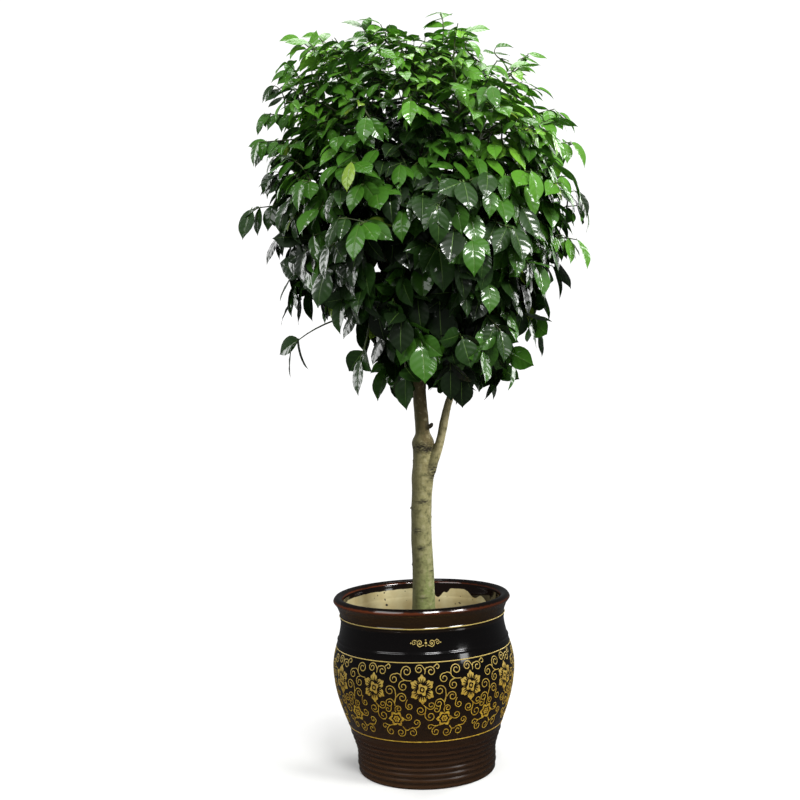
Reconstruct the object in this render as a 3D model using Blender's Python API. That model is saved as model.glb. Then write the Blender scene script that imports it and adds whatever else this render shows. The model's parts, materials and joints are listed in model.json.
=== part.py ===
"""A potted china doll plant, modelled as separate closed solids.

A straight single stem with a swollen fork, a slimmer second stem, boughs and a round crown of
glossy compound leaves, standing in a tall glazed pot with ribs round its foot.
Metres, +Z up, the front of the plant faces -Y. The origin is the middle of the pot's underside.
"""

import math
import random

import bmesh
import bpy
from mathutils import Vector
from mathutils.bvhtree import BVHTree

# Driving dimensions, in metres.
GAP = 0.0003                    # clear space between neighbouring solids

POT_FOOT_RADIUS = 0.1452
POT_FOOT_HEIGHT = 0.042         # upright part of the foot, where the belly starts to swell
POT_BELLY_RADIUS = 0.1928
POT_BELLY_HEIGHT = 0.221
POT_NECK_RADIUS = 0.1739
POT_NECK_HEIGHT = 0.322
POT_LIP_RADIUS = 0.1887
POT_LIP_HEIGHT = 0.359
POT_TOP_HEIGHT = 0.369
POT_MOUTH_RADIUS = 0.1675
POT_WALL = 0.0125
POT_FLOOR = 0.018
RIB_COUNT = 7
RIB_FIRST_HEIGHT = 0.0165
RIB_PITCH = 0.0112
RIB_DEPTH = 0.0013
BELLY_POWER = 1.3               # how slowly the belly starts to swell above the foot
POT_SEGMENTS = 34

SOIL_HEIGHT = 0.275
SOIL_EDGE_DROP = 0.006
SOIL_FLAT_RADIUS = 0.055

TRUNK_FLARE_RADIUS = 0.0290
TRUNK_RADIUS = 0.0226
TRUNK_TIP_HEIGHT = 1.330
SWELLING_HEIGHT = 0.690
SWELLING_RADIUS = 0.0236
LEADER_RADIUS = 0.0158
LEADER_TIP_RADIUS = 0.0046
RIGHT_STEM_RADIUS = 0.0122
RIGHT_STEM_TIP_RADIUS = 0.0050

CROWN_MIDDLE = Vector((0.034, 0.0, 1.185))
CROWN_RADIUS = 0.350
CROWN_RISE = 0.408
CROWN_DROP = 0.400
CROWN_POWER = 2.45              # 2 is an ellipsoid, more is fuller at the shoulders

SPRAY_COUNT = 98
SURFACE_SAMPLES = 1400          # points on the crown's outline among which sprays are spread
WALL_REACH = 0.042              # sprays' middles stay this far inside their mass's space
LEAF_LENGTH = 0.102
LEAF_WIDTH = 0.076
WIDEST = 0.38                   # share of a leaf's length where it is widest
LEAF_THICKNESS = 0.0014
LEAF_ROOT_HALF = 0.0008         # half the height of the root edge that sinks into the twig
PAIR_SPACING = 0.040
PAIRS = 2                       # pairs of side leaves on a twig
FIRST_PAIR = 0.026              # from the twig's end back to its outermost pair of leaves
STEM_RADIUS = 0.0042
TWIG_RADIUS = 0.0030
TWIG_END_RADIUS = 0.0023
CELL_MARGIN = 0.0010
SEED = 41

# Each ring of foliage: name, number of masses, distance from the crown's axis, height above the
# crown's middle, and the turn of its first mass in degrees from +X.
RINGS = (
    ("top", 1, 0.000, 0.310, 0.0),
    ("upper", 4, 0.200, 0.185, 30.0),
    ("middle", 5, 0.235, -0.030, -2.0),
    ("lower", 4, 0.185, -0.245, 38.0),
)

# Sprays that stand out of the crown's round outline: where the last leaf's tip is, as the
# distance to the right of the pot's axis, the distance behind it, and the height.
OUTLYING_TIPS = (
    ("top_sprig", 0.052, -0.010, 1.612),
    ("top_left_of_middle", -0.085, -0.060, 1.590),
    ("upper_left_cluster", -0.245, -0.040, 1.548),
    ("upper_right_cluster", 0.318, 0.020, 1.520),
    ("right_of_top", 0.180, -0.060, 1.565),
    ("left_hanging_pair", -0.330, 0.030, 1.372),
    ("left_drooping_leaf", -0.362, -0.030, 1.140),
    ("left_shoulder", -0.334, -0.060, 1.285),
    ("right_shoulder", 0.375, -0.050, 1.262),
    ("right_reaching_leaf", 0.410, 0.020, 1.135),
    ("right_hanging_leaf", 0.372, -0.090, 1.045),
    ("low_left_twig", -0.276, -0.020, 0.842),
    ("low_right_leaf", 0.296, 0.040, 0.866),
    ("lowest_right_leaf", 0.214, -0.060, 0.792),
    ("lowest_left_leaf", -0.118, -0.110, 0.800),
    ("lowest_middle_leaf", -0.020, -0.120, 0.764),
)


# General helpers.
def clear_scene():
    """Remove every object, so that the script can run again in the same file."""
    for item in list(bpy.data.objects):
        bpy.data.objects.remove(item, do_unlink=True)


def make_material(name, colour, roughness, metallic=0.0):
    """A plain material with one colour, for viewport and render alike."""
    material = bpy.data.materials.new(name)
    material.use_nodes = True
    shader = material.node_tree.nodes["Principled BSDF"]
    shader.inputs["Base Color"].default_value = (*colour, 1.0)
    shader.inputs["Roughness"].default_value = roughness
    shader.inputs["Metallic"].default_value = metallic
    material.diffuse_color = (*colour, 1.0)
    return material


def make_object(name, vertices, faces, material, smooth=False):
    """One named mesh object in the scene, with its faces turned outward."""
    mesh = bpy.data.meshes.new(name)
    mesh.from_pydata([tuple(v) for v in vertices], [], faces)
    shape = bmesh.new()
    shape.from_mesh(mesh)
    bmesh.ops.recalc_face_normals(shape, faces=shape.faces)
    if smooth:
        for face in shape.faces:
            face.smooth = True
        for edge in shape.edges:
            edge.smooth = edge.is_manifold and edge.calc_face_angle(0.0) < math.radians(40)
    shape.to_mesh(mesh)
    shape.free()
    mesh.materials.append(material)
    item = bpy.data.objects.new(name, mesh)
    bpy.context.scene.collection.objects.link(item)
    return item


def turned(profile, segments):
    """A closed solid of revolution. The profile's first and last points close flat discs."""
    vertices = []
    for radius, height in profile:
        for step in range(segments):
            angle = 2 * math.pi * step / segments
            vertices.append((radius * math.cos(angle), radius * math.sin(angle), height))
    faces = []
    for row in range(len(profile) - 1):
        for step in range(segments):
            after = (step + 1) % segments
            low = row * segments
            high = low + segments
            faces.append((low + step, low + after, high + after, high + step))
    faces.append(tuple(range(segments - 1, -1, -1)))
    last = (len(profile) - 1) * segments
    faces.append(tuple(range(last, last + segments)))
    return vertices, faces


def smooth_path(points, steps):
    """Points along a smooth curve through the given ones, with the same number in each span."""
    spans = len(points) - 1
    ends = [2 * points[0] - points[1]] + list(points) + [2 * points[-1] - points[-2]]
    path = []
    for span in range(spans):
        before, start, stop, after = ends[span:span + 4]
        for step in range(steps):
            t = step / steps
            path.append(0.5 * (2 * start + (stop - before) * t
                               + (2 * before - 5 * start + 4 * stop - after) * t * t
                               + (3 * start - before - 3 * stop + after) * t ** 3))
    path.append(points[-1].copy())
    return path


def frames_along(path, upright=Vector((0.0, 0.0, 1.0))):
    """A side vector and an over vector at each point, carried along without twisting."""
    tangents = []
    for index in range(len(path)):
        low = max(index - 1, 0)
        high = min(index + 1, len(path) - 1)
        tangents.append((path[high] - path[low]).normalized())
    side = tangents[0].cross(upright)
    if side.length < 0.05:
        side = tangents[0].cross(Vector((0.0, 1.0, 0.0)))
    side.normalize()
    frames = []
    for tangent in tangents:
        side = (side - tangent * side.dot(tangent)).normalized()
        frames.append((tangent, side, side.cross(tangent).normalized()))
    return frames


def tube(path, radii, sides, turn=0.0):
    """Rings of vertices round a path, with flat ends."""
    vertices = []
    for (tangent, side, over), centre, radius in zip(frames_along(path), path, radii):
        for step in range(sides):
            angle = turn + 2 * math.pi * step / sides
            vertices.append(centre + (side * math.cos(angle) + over * math.sin(angle)) * radius)
    faces = []
    for ring in range(len(path) - 1):
        for step in range(sides):
            after = (step + 1) % sides
            low = ring * sides
            high = low + sides
            faces.append((low + step, low + after, high + after, high + step))
    faces.append(tuple(range(sides - 1, -1, -1)))
    last = (len(path) - 1) * sides
    faces.append(tuple(range(last, last + sides)))
    return vertices, faces


def cut_away(item, cutter_path, cutter_radii, sides):
    """Cut an object back so that it stays clear of a limb."""
    vertices, faces = tube(cutter_path, cutter_radii, sides)
    cutter = make_object(item.name + "_cutter", vertices, faces, item.data.materials[0])
    cutter.hide_render = True
    cutter.display_type = "WIRE"
    modifier = item.modifiers.new("clear_of_parent", "BOOLEAN")
    modifier.operation = "DIFFERENCE"
    modifier.solver = "EXACT"
    modifier.object = cutter
    apply_modifiers(item)
    bpy.data.objects.remove(cutter, do_unlink=True)


def apply_modifiers(item):
    """Keep an object's evaluated shape as its own mesh."""
    bpy.context.view_layer.update()
    graph = bpy.context.evaluated_depsgraph_get()
    mesh = bpy.data.meshes.new_from_object(item.evaluated_get(graph))
    item.modifiers.clear()
    item.data = mesh


# The pot and the soil.
def pot_outer_radius(height):
    """The pot's outside without its ridges: foot, belly, neck and flared collar."""
    if height <= POT_FOOT_HEIGHT:
        return POT_FOOT_RADIUS
    if height <= POT_BELLY_HEIGHT:
        part = (height - POT_FOOT_HEIGHT) / (POT_BELLY_HEIGHT - POT_FOOT_HEIGHT)
        swell = math.sin(0.5 * math.pi * part) ** BELLY_POWER
        return POT_FOOT_RADIUS + (POT_BELLY_RADIUS - POT_FOOT_RADIUS) * swell
    if height <= POT_NECK_HEIGHT:
        part = (height - POT_BELLY_HEIGHT) / (POT_NECK_HEIGHT - POT_BELLY_HEIGHT)
        fall = 0.5 + 0.5 * math.cos(math.pi * part)
        return POT_NECK_RADIUS + (POT_BELLY_RADIUS - POT_NECK_RADIUS) * fall
    part = (height - POT_NECK_HEIGHT) / (POT_LIP_HEIGHT - POT_NECK_HEIGHT)
    return POT_NECK_RADIUS + (POT_LIP_RADIUS - POT_NECK_RADIUS) * min(part, 1.0) ** 2


def ridge(profile, height, reach, depth):
    """A round bead standing out of the pot's side."""
    profile.append((pot_outer_radius(height - reach), height - reach))
    profile.append((pot_outer_radius(height) + depth, height))
    profile.append((pot_outer_radius(height + reach), height + reach))


def pot_profile():
    """The pot's section, from the middle of its underside up the outside and down the inside."""
    profile = [(POT_FOOT_RADIUS - 0.0022, 0.0), (POT_FOOT_RADIUS + 0.0002, 0.0024)]
    for index in range(RIB_COUNT):
        height = RIB_FIRST_HEIGHT + index * RIB_PITCH
        profile.append((pot_outer_radius(height - 0.35 * RIB_PITCH), height - 0.35 * RIB_PITCH))
        profile.append((pot_outer_radius(height) + RIB_DEPTH, height))
    ribs_end = RIB_FIRST_HEIGHT + (RIB_COUNT - 0.6) * RIB_PITCH
    body_steps = 6
    for step in range(body_steps):
        height = ribs_end + (0.2615 - ribs_end) * step / (body_steps - 1)
        profile.append((pot_outer_radius(height), height))
    ridge(profile, 0.2800, 0.0035, 0.0016)
    profile.append((pot_outer_radius(0.3020), 0.3020))
    ridge(profile, 0.3210, 0.0028, 0.0010)
    ridge(profile, 0.3285, 0.0032, 0.0020)
    profile.append((pot_outer_radius(0.3470), 0.3470))
    profile.append((POT_LIP_RADIUS, POT_LIP_HEIGHT - 0.0020))
    profile.append((POT_LIP_RADIUS - 0.0010, POT_LIP_HEIGHT + 0.0050))
    profile.append((POT_LIP_RADIUS - 0.0065, POT_TOP_HEIGHT))
    profile.append((POT_MOUTH_RADIUS + 0.0045, POT_TOP_HEIGHT - 0.0008))
    profile.append((POT_MOUTH_RADIUS, POT_TOP_HEIGHT - 0.0060))
    for height in (POT_NECK_HEIGHT, POT_BELLY_HEIGHT, 0.1200, POT_FLOOR):
        profile.append((pot_inner_radius(height), height))
    return profile


def pot_inner_radius(height):
    """The pot's inside, one wall thickness in from its side."""
    return min(pot_outer_radius(height), POT_BELLY_RADIUS) - POT_WALL


def build_pot(material):
    """The glazed pot, open above with a flat underside."""
    vertices, faces = turned(pot_profile(), POT_SEGMENTS)
    return make_object("pot", vertices, faces, material, smooth=True)


def build_soil(material):
    """The potting soil, filling the pot to well below its rim and clear of its wall."""
    clear = GAP / math.cos(math.pi / POT_SEGMENTS)
    profile = [(pot_inner_radius(POT_FLOOR) - clear, POT_FLOOR + GAP)]
    for height in (0.1200, POT_BELLY_HEIGHT):
        profile.append((pot_inner_radius(height) - clear, height))
    edge = SOIL_HEIGHT - SOIL_EDGE_DROP
    part = (edge - POT_BELLY_HEIGHT) / (POT_NECK_HEIGHT - POT_BELLY_HEIGHT)
    wall = pot_inner_radius(POT_BELLY_HEIGHT) * (1 - part) + pot_inner_radius(POT_NECK_HEIGHT) * part
    profile.append((wall - clear, edge))
    profile.append((SOIL_FLAT_RADIUS, SOIL_HEIGHT))
    vertices, faces = turned(profile, POT_SEGMENTS)
    return make_object("soil", vertices, faces, material, smooth=True)


# The trunk, the second stem and the boughs.
def eased(value, low, high):
    """0 below low, 1 above high and a smooth step between them."""
    part = min(max((value - low) / (high - low), 0.0), 1.0)
    return part * part * (3 - 2 * part)


def trunk_centre(height):
    """The trunk leans a little to the right up to its fork, and the leader goes straight up."""
    lean = 0.0135 * min((height - SOIL_HEIGHT) / (0.70 - SOIL_HEIGHT), 1.0)
    drift = 0.018 * eased(height, 0.85, 1.25)
    wave = 0.0022 * math.sin(height * 21.0)
    depth = 0.008 * math.sin((height - SOIL_HEIGHT) * 4.2)
    return Vector((lean + drift + wave, depth, height))


def trunk_radius(height):
    """Root flare, a near-even trunk, a swollen ring over the fork, and the tapering leader."""
    flare = (TRUNK_FLARE_RADIUS - TRUNK_RADIUS) * math.exp(-(height - SOIL_HEIGHT) / 0.030)
    base = TRUNK_RADIUS + flare - 0.0008 * eased(height, 0.35, 0.60)
    collar = 0.0016 * math.exp(-((height - 0.615) / 0.022) ** 2)
    swelling = (SWELLING_RADIUS - TRUNK_RADIUS + 0.0012) * math.exp(
        -((height - SWELLING_HEIGHT) / 0.012) ** 2)
    part = max(height - 0.705, 0.0) / (TRUNK_TIP_HEIGHT - 0.705)
    leader = LEADER_RADIUS + (LEADER_TIP_RADIUS - LEADER_RADIUS) * part
    share = eased(height, 0.693, 0.712)
    return (base + collar + swelling) * (1 - share) + leader * share


def trunk_path():
    """Centres and radii of the trunk's rings, closer together where its width changes."""
    heights = [SOIL_HEIGHT + GAP, 0.290, 0.315, 0.360, 0.440, 0.530, 0.590, 0.615, 0.645, 0.676,
               0.690, 0.702, 0.714, 0.760]
    steps = 7
    for step in range(1, steps + 1):
        heights.append(0.760 + (TRUNK_TIP_HEIGHT - 0.760) * step / steps)
    return [trunk_centre(h) for h in heights], [trunk_radius(h) for h in heights]


def right_stem_path():
    """The slimmer second stem, from inside the trunk below the fork out to the right."""
    points = [trunk_centre(0.585) + Vector((0.002, -0.002, 0.0)), Vector((0.0315, -0.004, 0.637)),
              Vector((0.0520, -0.006, 0.695)), Vector((0.0690, -0.006, 0.764)),
              Vector((0.0880, -0.004, 0.817)), Vector((0.1230, 0.004, 0.910)),
              Vector((0.1500, 0.010, 1.010))]
    path = smooth_path(points, 2)
    radii = []
    for index in range(len(path)):
        part = index / (len(path) - 1)
        radii.append(RIGHT_STEM_RADIUS + (RIGHT_STEM_TIP_RADIUS - RIGHT_STEM_RADIUS) * part)
    return path, radii


def crown_centre_of(ring, index):
    """The middle of one mass of foliage."""
    name, count, distance, rise, turn = ring
    angle = math.radians(turn + 360.0 * index / count)
    reach = Vector((distance * math.cos(angle), distance * math.sin(angle), rise))
    return CROWN_MIDDLE + reach


def mass_name(ring, index):
    """Plain name of a mass of foliage, such as upper_2."""
    if ring[1] == 1:
        return ring[0]
    return ring[0] + "_" + str(index + 1)


def bough_plan():
    """For each mass: its name, its middle, the limb that carries it and where it leaves it."""
    plan = []
    for ring in RINGS:
        for index in range(ring[1]):
            name = mass_name(ring, index)
            middle = crown_centre_of(ring, index)
            angle = math.degrees(math.atan2(middle.y, middle.x - CROWN_MIDDLE.x))
            if ring[0] == "top":
                plan.append((name, middle, "trunk_tip", 1.0))
            elif ring[0] == "middle" and abs(angle) < 20.0:
                plan.append((name, middle, "right_stem_tip", 1.0))
            elif ring[0] == "lower" and abs(angle) < 60.0:
                plan.append((name, middle, "right_stem", 0.66))
            else:
                lowest = {"upper": 1.060, "middle": 0.900, "lower": 0.780}[ring[0]]
                plan.append((name, middle, "trunk", lowest + 0.022 * ((index * 2) % 5)))
    return plan


def bough_path(start, tip, parent_direction):
    """A bough leaves its parent at a slant and bends out toward its mass."""
    across = tip - start
    out = Vector((across.x, across.y, 0.0)).normalized()
    first = start + (parent_direction * 0.55 + out * 0.75) * across.length * 0.38
    path = []
    steps = 3
    for step in range(steps + 1):
        t = step / steps
        path.append(start * (1 - t) ** 2 + first * 2 * t * (1 - t) + tip * t * t)
    return path


def point_at(path, share):
    """The point a share of the way along a path, and the direction there."""
    lengths = [(path[i + 1] - path[i]).length for i in range(len(path) - 1)]
    goal = share * sum(lengths)
    for index, length in enumerate(lengths):
        if goal <= length or index == len(lengths) - 1:
            part = min(goal / length, 1.0)
            point = path[index].lerp(path[index + 1], part)
            return point, (path[index + 1] - path[index]).normalized()
        goal -= length


def clear_of_limbs(path, radii, limbs, parent):
    """True where a new bough stays off every limb that is there, but for its own parent."""
    steps = 24
    for limb, (line, widths) in limbs.items():
        beyond = 0.25 if limb == parent else 0.0
        for step in range(steps + 1):
            share = beyond + (1 - beyond) * step / steps
            point = point_at(path, share)[0]
            width = radii[0] + (radii[-1] - radii[0]) * share
            for low in range(len(line) - 1):
                across = line[low + 1] - line[low]
                part = (point - line[low]).dot(across) / across.length_squared
                spot = line[low] + across * min(max(part, 0.0), 1.0)
                if (spot - point).length < width + widths[low] + 0.002:
                    return False
    return True


def build_limbs(bark):
    """Trunk, second stem and boughs. Returns each limb's path and radii for the foliage."""
    trunk_line, trunk_radii = trunk_path()
    vertices, faces = tube(trunk_line, trunk_radii, 10)
    for vertex in vertices[:10]:
        vertex.z = SOIL_HEIGHT + GAP
    make_object("trunk", vertices, faces, bark, smooth=True)

    stem_line, stem_radii = right_stem_path()
    vertices, faces = tube(stem_line, stem_radii, 8)
    stem = make_object("right_stem", vertices, faces, bark, smooth=True)
    cut_away(stem, trunk_line, [radius + GAP + 0.0005 for radius in trunk_radii], 10)

    limbs = {"trunk": (trunk_line, trunk_radii), "right_stem": (stem_line, stem_radii)}
    feeds = {}
    for name, middle, parent, place in bough_plan():
        hub = CROWN_MIDDLE + (middle - CROWN_MIDDLE) * 0.54
        hub.z = CROWN_MIDDLE.z + (middle.z - CROWN_MIDDLE.z) * 0.78 - 0.03
        if parent == "trunk_tip":
            feeds[name] = (trunk_line[-1], (trunk_line[-1] - trunk_line[-2]).normalized(), "trunk")
            continue
        if parent == "right_stem_tip":
            feeds[name] = (stem_line[-1], (stem_line[-1] - stem_line[-2]).normalized(),
                           "right_stem")
            continue
        for attempt in range(20):
            shift = 0.010 * ((attempt + 1) // 2) * (1 if attempt % 2 else -1)
            if parent == "trunk":
                start = trunk_centre(place + shift)
                along = Vector((0.0, 0.0, 1.0))
                base_radius = trunk_radius(place + shift) * 0.60
                cutter = (trunk_line, [radius + GAP + 0.0005 for radius in trunk_radii], 10)
            else:
                start, along = point_at(stem_line, place + shift)
                base_radius = 0.0058
                cutter = (stem_line, [radius + GAP + 0.0007 for radius in stem_radii], 8)
            path = bough_path(start, hub, along)
            radii = []
            for index in range(len(path)):
                part = index / (len(path) - 1)
                radii.append(base_radius + (STEM_RADIUS - base_radius) * part)
            if clear_of_limbs(path, radii, limbs, parent):
                break
        vertices, faces = tube(path, radii, 5)
        bough = make_object("bough_" + name, vertices, faces, bark, smooth=True)
        cut_away(bough, *cutter)
        limbs["bough_" + name] = (path, radii)
        feeds[name] = (path[-1], (path[-1] - path[-2]).normalized(), "bough_" + name)
    return limbs, feeds


# The foliage.
def crown_surface(direction):
    """The point of the crown's round outline in a direction from its middle."""
    flat = math.hypot(direction.x, direction.y) / CROWN_RADIUS
    tall = abs(direction.z) / (CROWN_RISE if direction.z >= 0 else CROWN_DROP)
    reach = (flat ** CROWN_POWER + tall ** CROWN_POWER) ** (-1.0 / CROWN_POWER)
    return CROWN_MIDDLE + direction * reach


def crown_outward(point):
    """The direction straight out of the crown's outline near a point."""
    offset = point - CROWN_MIDDLE
    flat = math.hypot(offset.x, offset.y)
    tall = CROWN_RISE if offset.z >= 0 else CROWN_DROP
    slope = CROWN_POWER - 1.0
    out = Vector((offset.x, offset.y, 0.0))
    if flat > 1e-6:
        out = out / flat
    out = out * (flat / CROWN_RADIUS) ** slope / CROWN_RADIUS
    rise = (abs(offset.z) / tall) ** slope / tall
    out.z = rise if offset.z >= 0 else -rise
    return out.normalized()


def surface_samples():
    """Points spread evenly over the crown's outline."""
    golden = math.pi * (3 - math.sqrt(5))
    points = []
    for index in range(SURFACE_SAMPLES):
        height = 1 - 2 * (index + 0.5) / SURFACE_SAMPLES
        around = math.sqrt(1 - height * height)
        angle = index * golden
        tall = CROWN_RISE if height >= 0 else CROWN_DROP
        direction = Vector((CROWN_RADIUS * around * math.cos(angle),
                            CROWN_RADIUS * around * math.sin(angle), tall * height)).normalized()
        points.append(crown_surface(direction))
    return points


def spray_middles(middles):
    """For each mass, where its sprays are: first the outlying ones, then the emptiest places."""
    dice = random.Random(SEED)
    samples = surface_samples()
    owned = {name: [] for name in middles}
    for point in samples:
        inner = CROWN_MIDDLE.lerp(point, 0.90)
        owner = min(middles, key=lambda name: (middles[name] - inner).length)
        owned[owner].append(point)
    chosen = {name: [] for name in middles}
    for label, right, back, height in OUTLYING_TIPS:
        tip = Vector((right, back, height))
        hang = hang_direction(crown_outward(tip), 0.45, random.Random(SEED))
        point = tip - hang * 0.55 * LEAF_LENGTH
        owner = min(middles, key=lambda name: (middles[name] - point).length)
        chosen[owner].append((point, hang))
    for name, points in owned.items():
        walls = space_walls(name, middles)
        inside = []
        for point in points:
            room = min((wall - point).dot(across) for across, wall in walls)
            if room > WALL_REACH:
                inside.append(point)
        count = max(round(SPRAY_COUNT * len(points) / len(samples)), 3)
        while len(chosen[name]) < count and inside:
            taken = [spot for spot, hang in chosen[name]] or [CROWN_MIDDLE]
            best = max(inside, key=lambda p: min((p - spot).length for spot in taken))
            inside.remove(best)
            reach = 0.93 + 0.08 * dice.random()
            chosen[name].append((CROWN_MIDDLE + (best - CROWN_MIDDLE) * reach, None))
    return chosen


def space_walls(name, middles):
    """The flat walls half way to every other mass, each as its direction and a point on it."""
    own = middles[name]
    walls = []
    for other, centre in middles.items():
        if other != name:
            across = (centre - own).normalized()
            walls.append((across, (own + centre) * 0.5 - across * CELL_MARGIN))
    return walls


def leaf_frame(direction, upper):
    """Unit vectors along a leaf, out of its upper side and across it."""
    direction = direction.normalized()
    upper = (upper - direction * upper.dot(direction)).normalized()
    return direction, upper, direction.cross(upper)


def blade_points(root, direction, upper, length, width):
    """A leaf's widest points, its raised midrib point and its drooping tip."""
    direction, upper, across = leaf_frame(direction, upper)
    middle = root + direction * WIDEST * length - upper * 0.035 * length
    left = middle + across * 0.5 * width
    right = middle - across * 0.5 * width
    crest = middle + direction * 0.03 * length + upper * (LEAF_THICKNESS + 0.005 * length)
    tip = root + direction * length - upper * 0.13 * length
    return [left, right, crest, tip]


def leaf_solid(root, direction, upper, length, width):
    """One leaf of eight faces, with a thick root edge that sinks into its twig."""
    half = leaf_frame(direction, upper)[1] * LEAF_ROOT_HALF
    vertices = [root + half, root - half] + blade_points(root, direction, upper, length, width)
    faces = [(0, 4, 2), (0, 3, 4), (4, 5, 2), (4, 3, 5), (0, 2, 1), (0, 1, 3), (1, 2, 3),
             (2, 5, 3)]
    return vertices, faces


def twig_with_leaf(path, radii, direction, upper, length, width):
    """A three-sided twig that runs out into its last leaf, as one closed shape."""
    vertices, faces = tube(path, radii, 3, turn=math.pi / 2)
    faces.pop()
    base = len(vertices) - 3
    root = path[-1]
    spokes = [vertex - root for vertex in vertices[base:]]
    direction, upper, across = leaf_frame(direction, upper)
    over = max(range(3), key=lambda i: spokes[i].dot(upper))
    lefty, righty = sorted((i for i in range(3) if i != over),
                           key=lambda i: -spokes[i].dot(across))
    a, b, c = base + over, base + lefty, base + righty
    left, right, crest, tip = (len(vertices) + i for i in range(4))
    vertices = vertices + blade_points(root, direction, upper, length, width)
    faces += [(a, crest, left), (a, right, crest), (crest, tip, left), (crest, right, tip),
              (a, left, b), (a, c, right), (b, left, right), (b, right, c), (left, tip, right)]
    return vertices, faces


class Space:
    """The space that a mass keeps to, and what it has to stay clear of."""

    def __init__(self, name, middles, limbs, feed_limb):
        self.walls = space_walls(name, middles)
        self.middle = CROWN_MIDDLE + (middles[name] - CROWN_MIDDLE) * 1.2
        vertices = []
        faces = []
        for limb, (path, radii) in limbs.items():
            grown = [radius + 0.0015 for radius in radii]
            line = list(path)
            if limb == feed_limb:
                line = line[:-1] + [line[-1] + (line[-2] - line[-1]).normalized() * 0.006]
                grown = [radius + 0.0005 for radius in radii]
            ring, sheets = tube(line, grown, 6)
            shift = len(vertices)
            vertices += ring
            faces += [tuple(i + shift for i in face) for face in sheets]
        self.limbs = BVHTree.FromPolygons(vertices, faces)
        self.leaves = []
        self.twigs = []

    def holds(self, vertices):
        """True where every vertex is inside the space."""
        for across, wall in self.walls:
            for vertex in vertices:
                if (vertex - wall).dot(across) > 0.0:
                    return False
        return True

    def off_limbs(self, vertices, faces):
        """True where the shape touches no limb."""
        return not BVHTree.FromPolygons(vertices, faces).overlap(self.limbs)

    def off_others(self, vertices, faces, number):
        """True where the shape touches no leaf, and no twig other than its own."""
        tree = BVHTree.FromPolygons(vertices, faces)
        for leaf in self.leaves:
            if tree.overlap(leaf):
                return False
        for owner, twig in self.twigs:
            if owner != number and tree.overlap(twig):
                return False
        return True


def hang_direction(out, lean, dice):
    """Leaves point outward and down; on top of the crown they spread outward and droop."""
    level = Vector((out.x, out.y, 0.0))
    if level.length < 0.25:
        angle = dice.random() * 2 * math.pi
        level = Vector((math.cos(angle), math.sin(angle), 0.0))
    level.normalize()
    down = Vector((0.0, 0.0, -1.0))
    share = eased(out.z, 0.25, 0.85)
    fall = down * (1 - share) + (level * 0.95 - Vector((0.0, 0.0, 0.15))) * share
    return (out * lean + fall * 0.80).normalized()


def blade_only(vertices, direction):
    """A leaf without its root, which is sunk into the twig."""
    blade = list(vertices)
    blade[0] = blade[0] + direction * 0.007
    blade[1] = blade[1] + direction * 0.007
    return blade


def try_leaf(space, root, heading, upper, size, number, dice):
    """Place one leaf, turning or shrinking it until it keeps to its space, or give it up."""
    down = Vector((0.0, 0.0, -1.0))
    for attempt in range(14):
        length = LEAF_LENGTH * size * (1.0 - 0.03 * attempt)
        width = LEAF_WIDTH * size * (1.0 - 0.03 * attempt)
        spread = 0.10 + 0.10 * attempt
        wander = Vector((dice.uniform(-1, 1), dice.uniform(-1, 1), dice.uniform(-1, 1)))
        inward = (space.middle - root).normalized() * 0.10 * max(attempt - 2, 0)
        direction = (heading + wander * spread + down * 0.05 * attempt + inward).normalized()
        tilt = upper + wander.cross(direction) * (0.25 + 0.05 * attempt)
        if (tilt - direction * tilt.dot(direction)).length < 0.1:
            continue
        vertices, faces = leaf_solid(root, direction, tilt, length, width)
        if not space.holds(vertices) or not space.off_limbs(vertices, faces):
            continue
        blade = blade_only(vertices, direction)
        if space.off_others(blade, faces, number):
            space.leaves.append(BVHTree.FromPolygons(blade, faces))
            return vertices, faces
    return None


def grow_mass(name, space, feed, spots, dice):
    """All parts of one mass: its stem, a twig to each spray, and the leaves along them."""
    start, along, parent = feed
    parts = []
    centre = Vector((0.0, 0.0, 0.0))
    for spot, hang in spots:
        centre += spot / len(spots)
    root = start + along * GAP
    aim = centre - root
    first = root + along * 0.010
    end = root + (along * 0.4 + aim.normalized() * 0.6).normalized() * 0.50 * aim.length
    stem = [root, first, first.lerp(end, 0.5) + along * 0.004, end]
    stem_radii = [STEM_RADIUS, STEM_RADIUS * 0.97, STEM_RADIUS * 0.88, STEM_RADIUS * 0.78]
    parts.append(tube(stem, stem_radii, 3, turn=math.pi / 2))
    order = sorted(spots, key=lambda item: (item[0] - end).length, reverse=True)
    for number, (spot, hang) in enumerate(order):
        spray = None
        for attempt in range(18):
            spray = grow_spray(space, stem, spot, hang, number, len(order), attempt, dice)
            if spray:
                break
        if spray:
            parts += spray
    return parts


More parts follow.
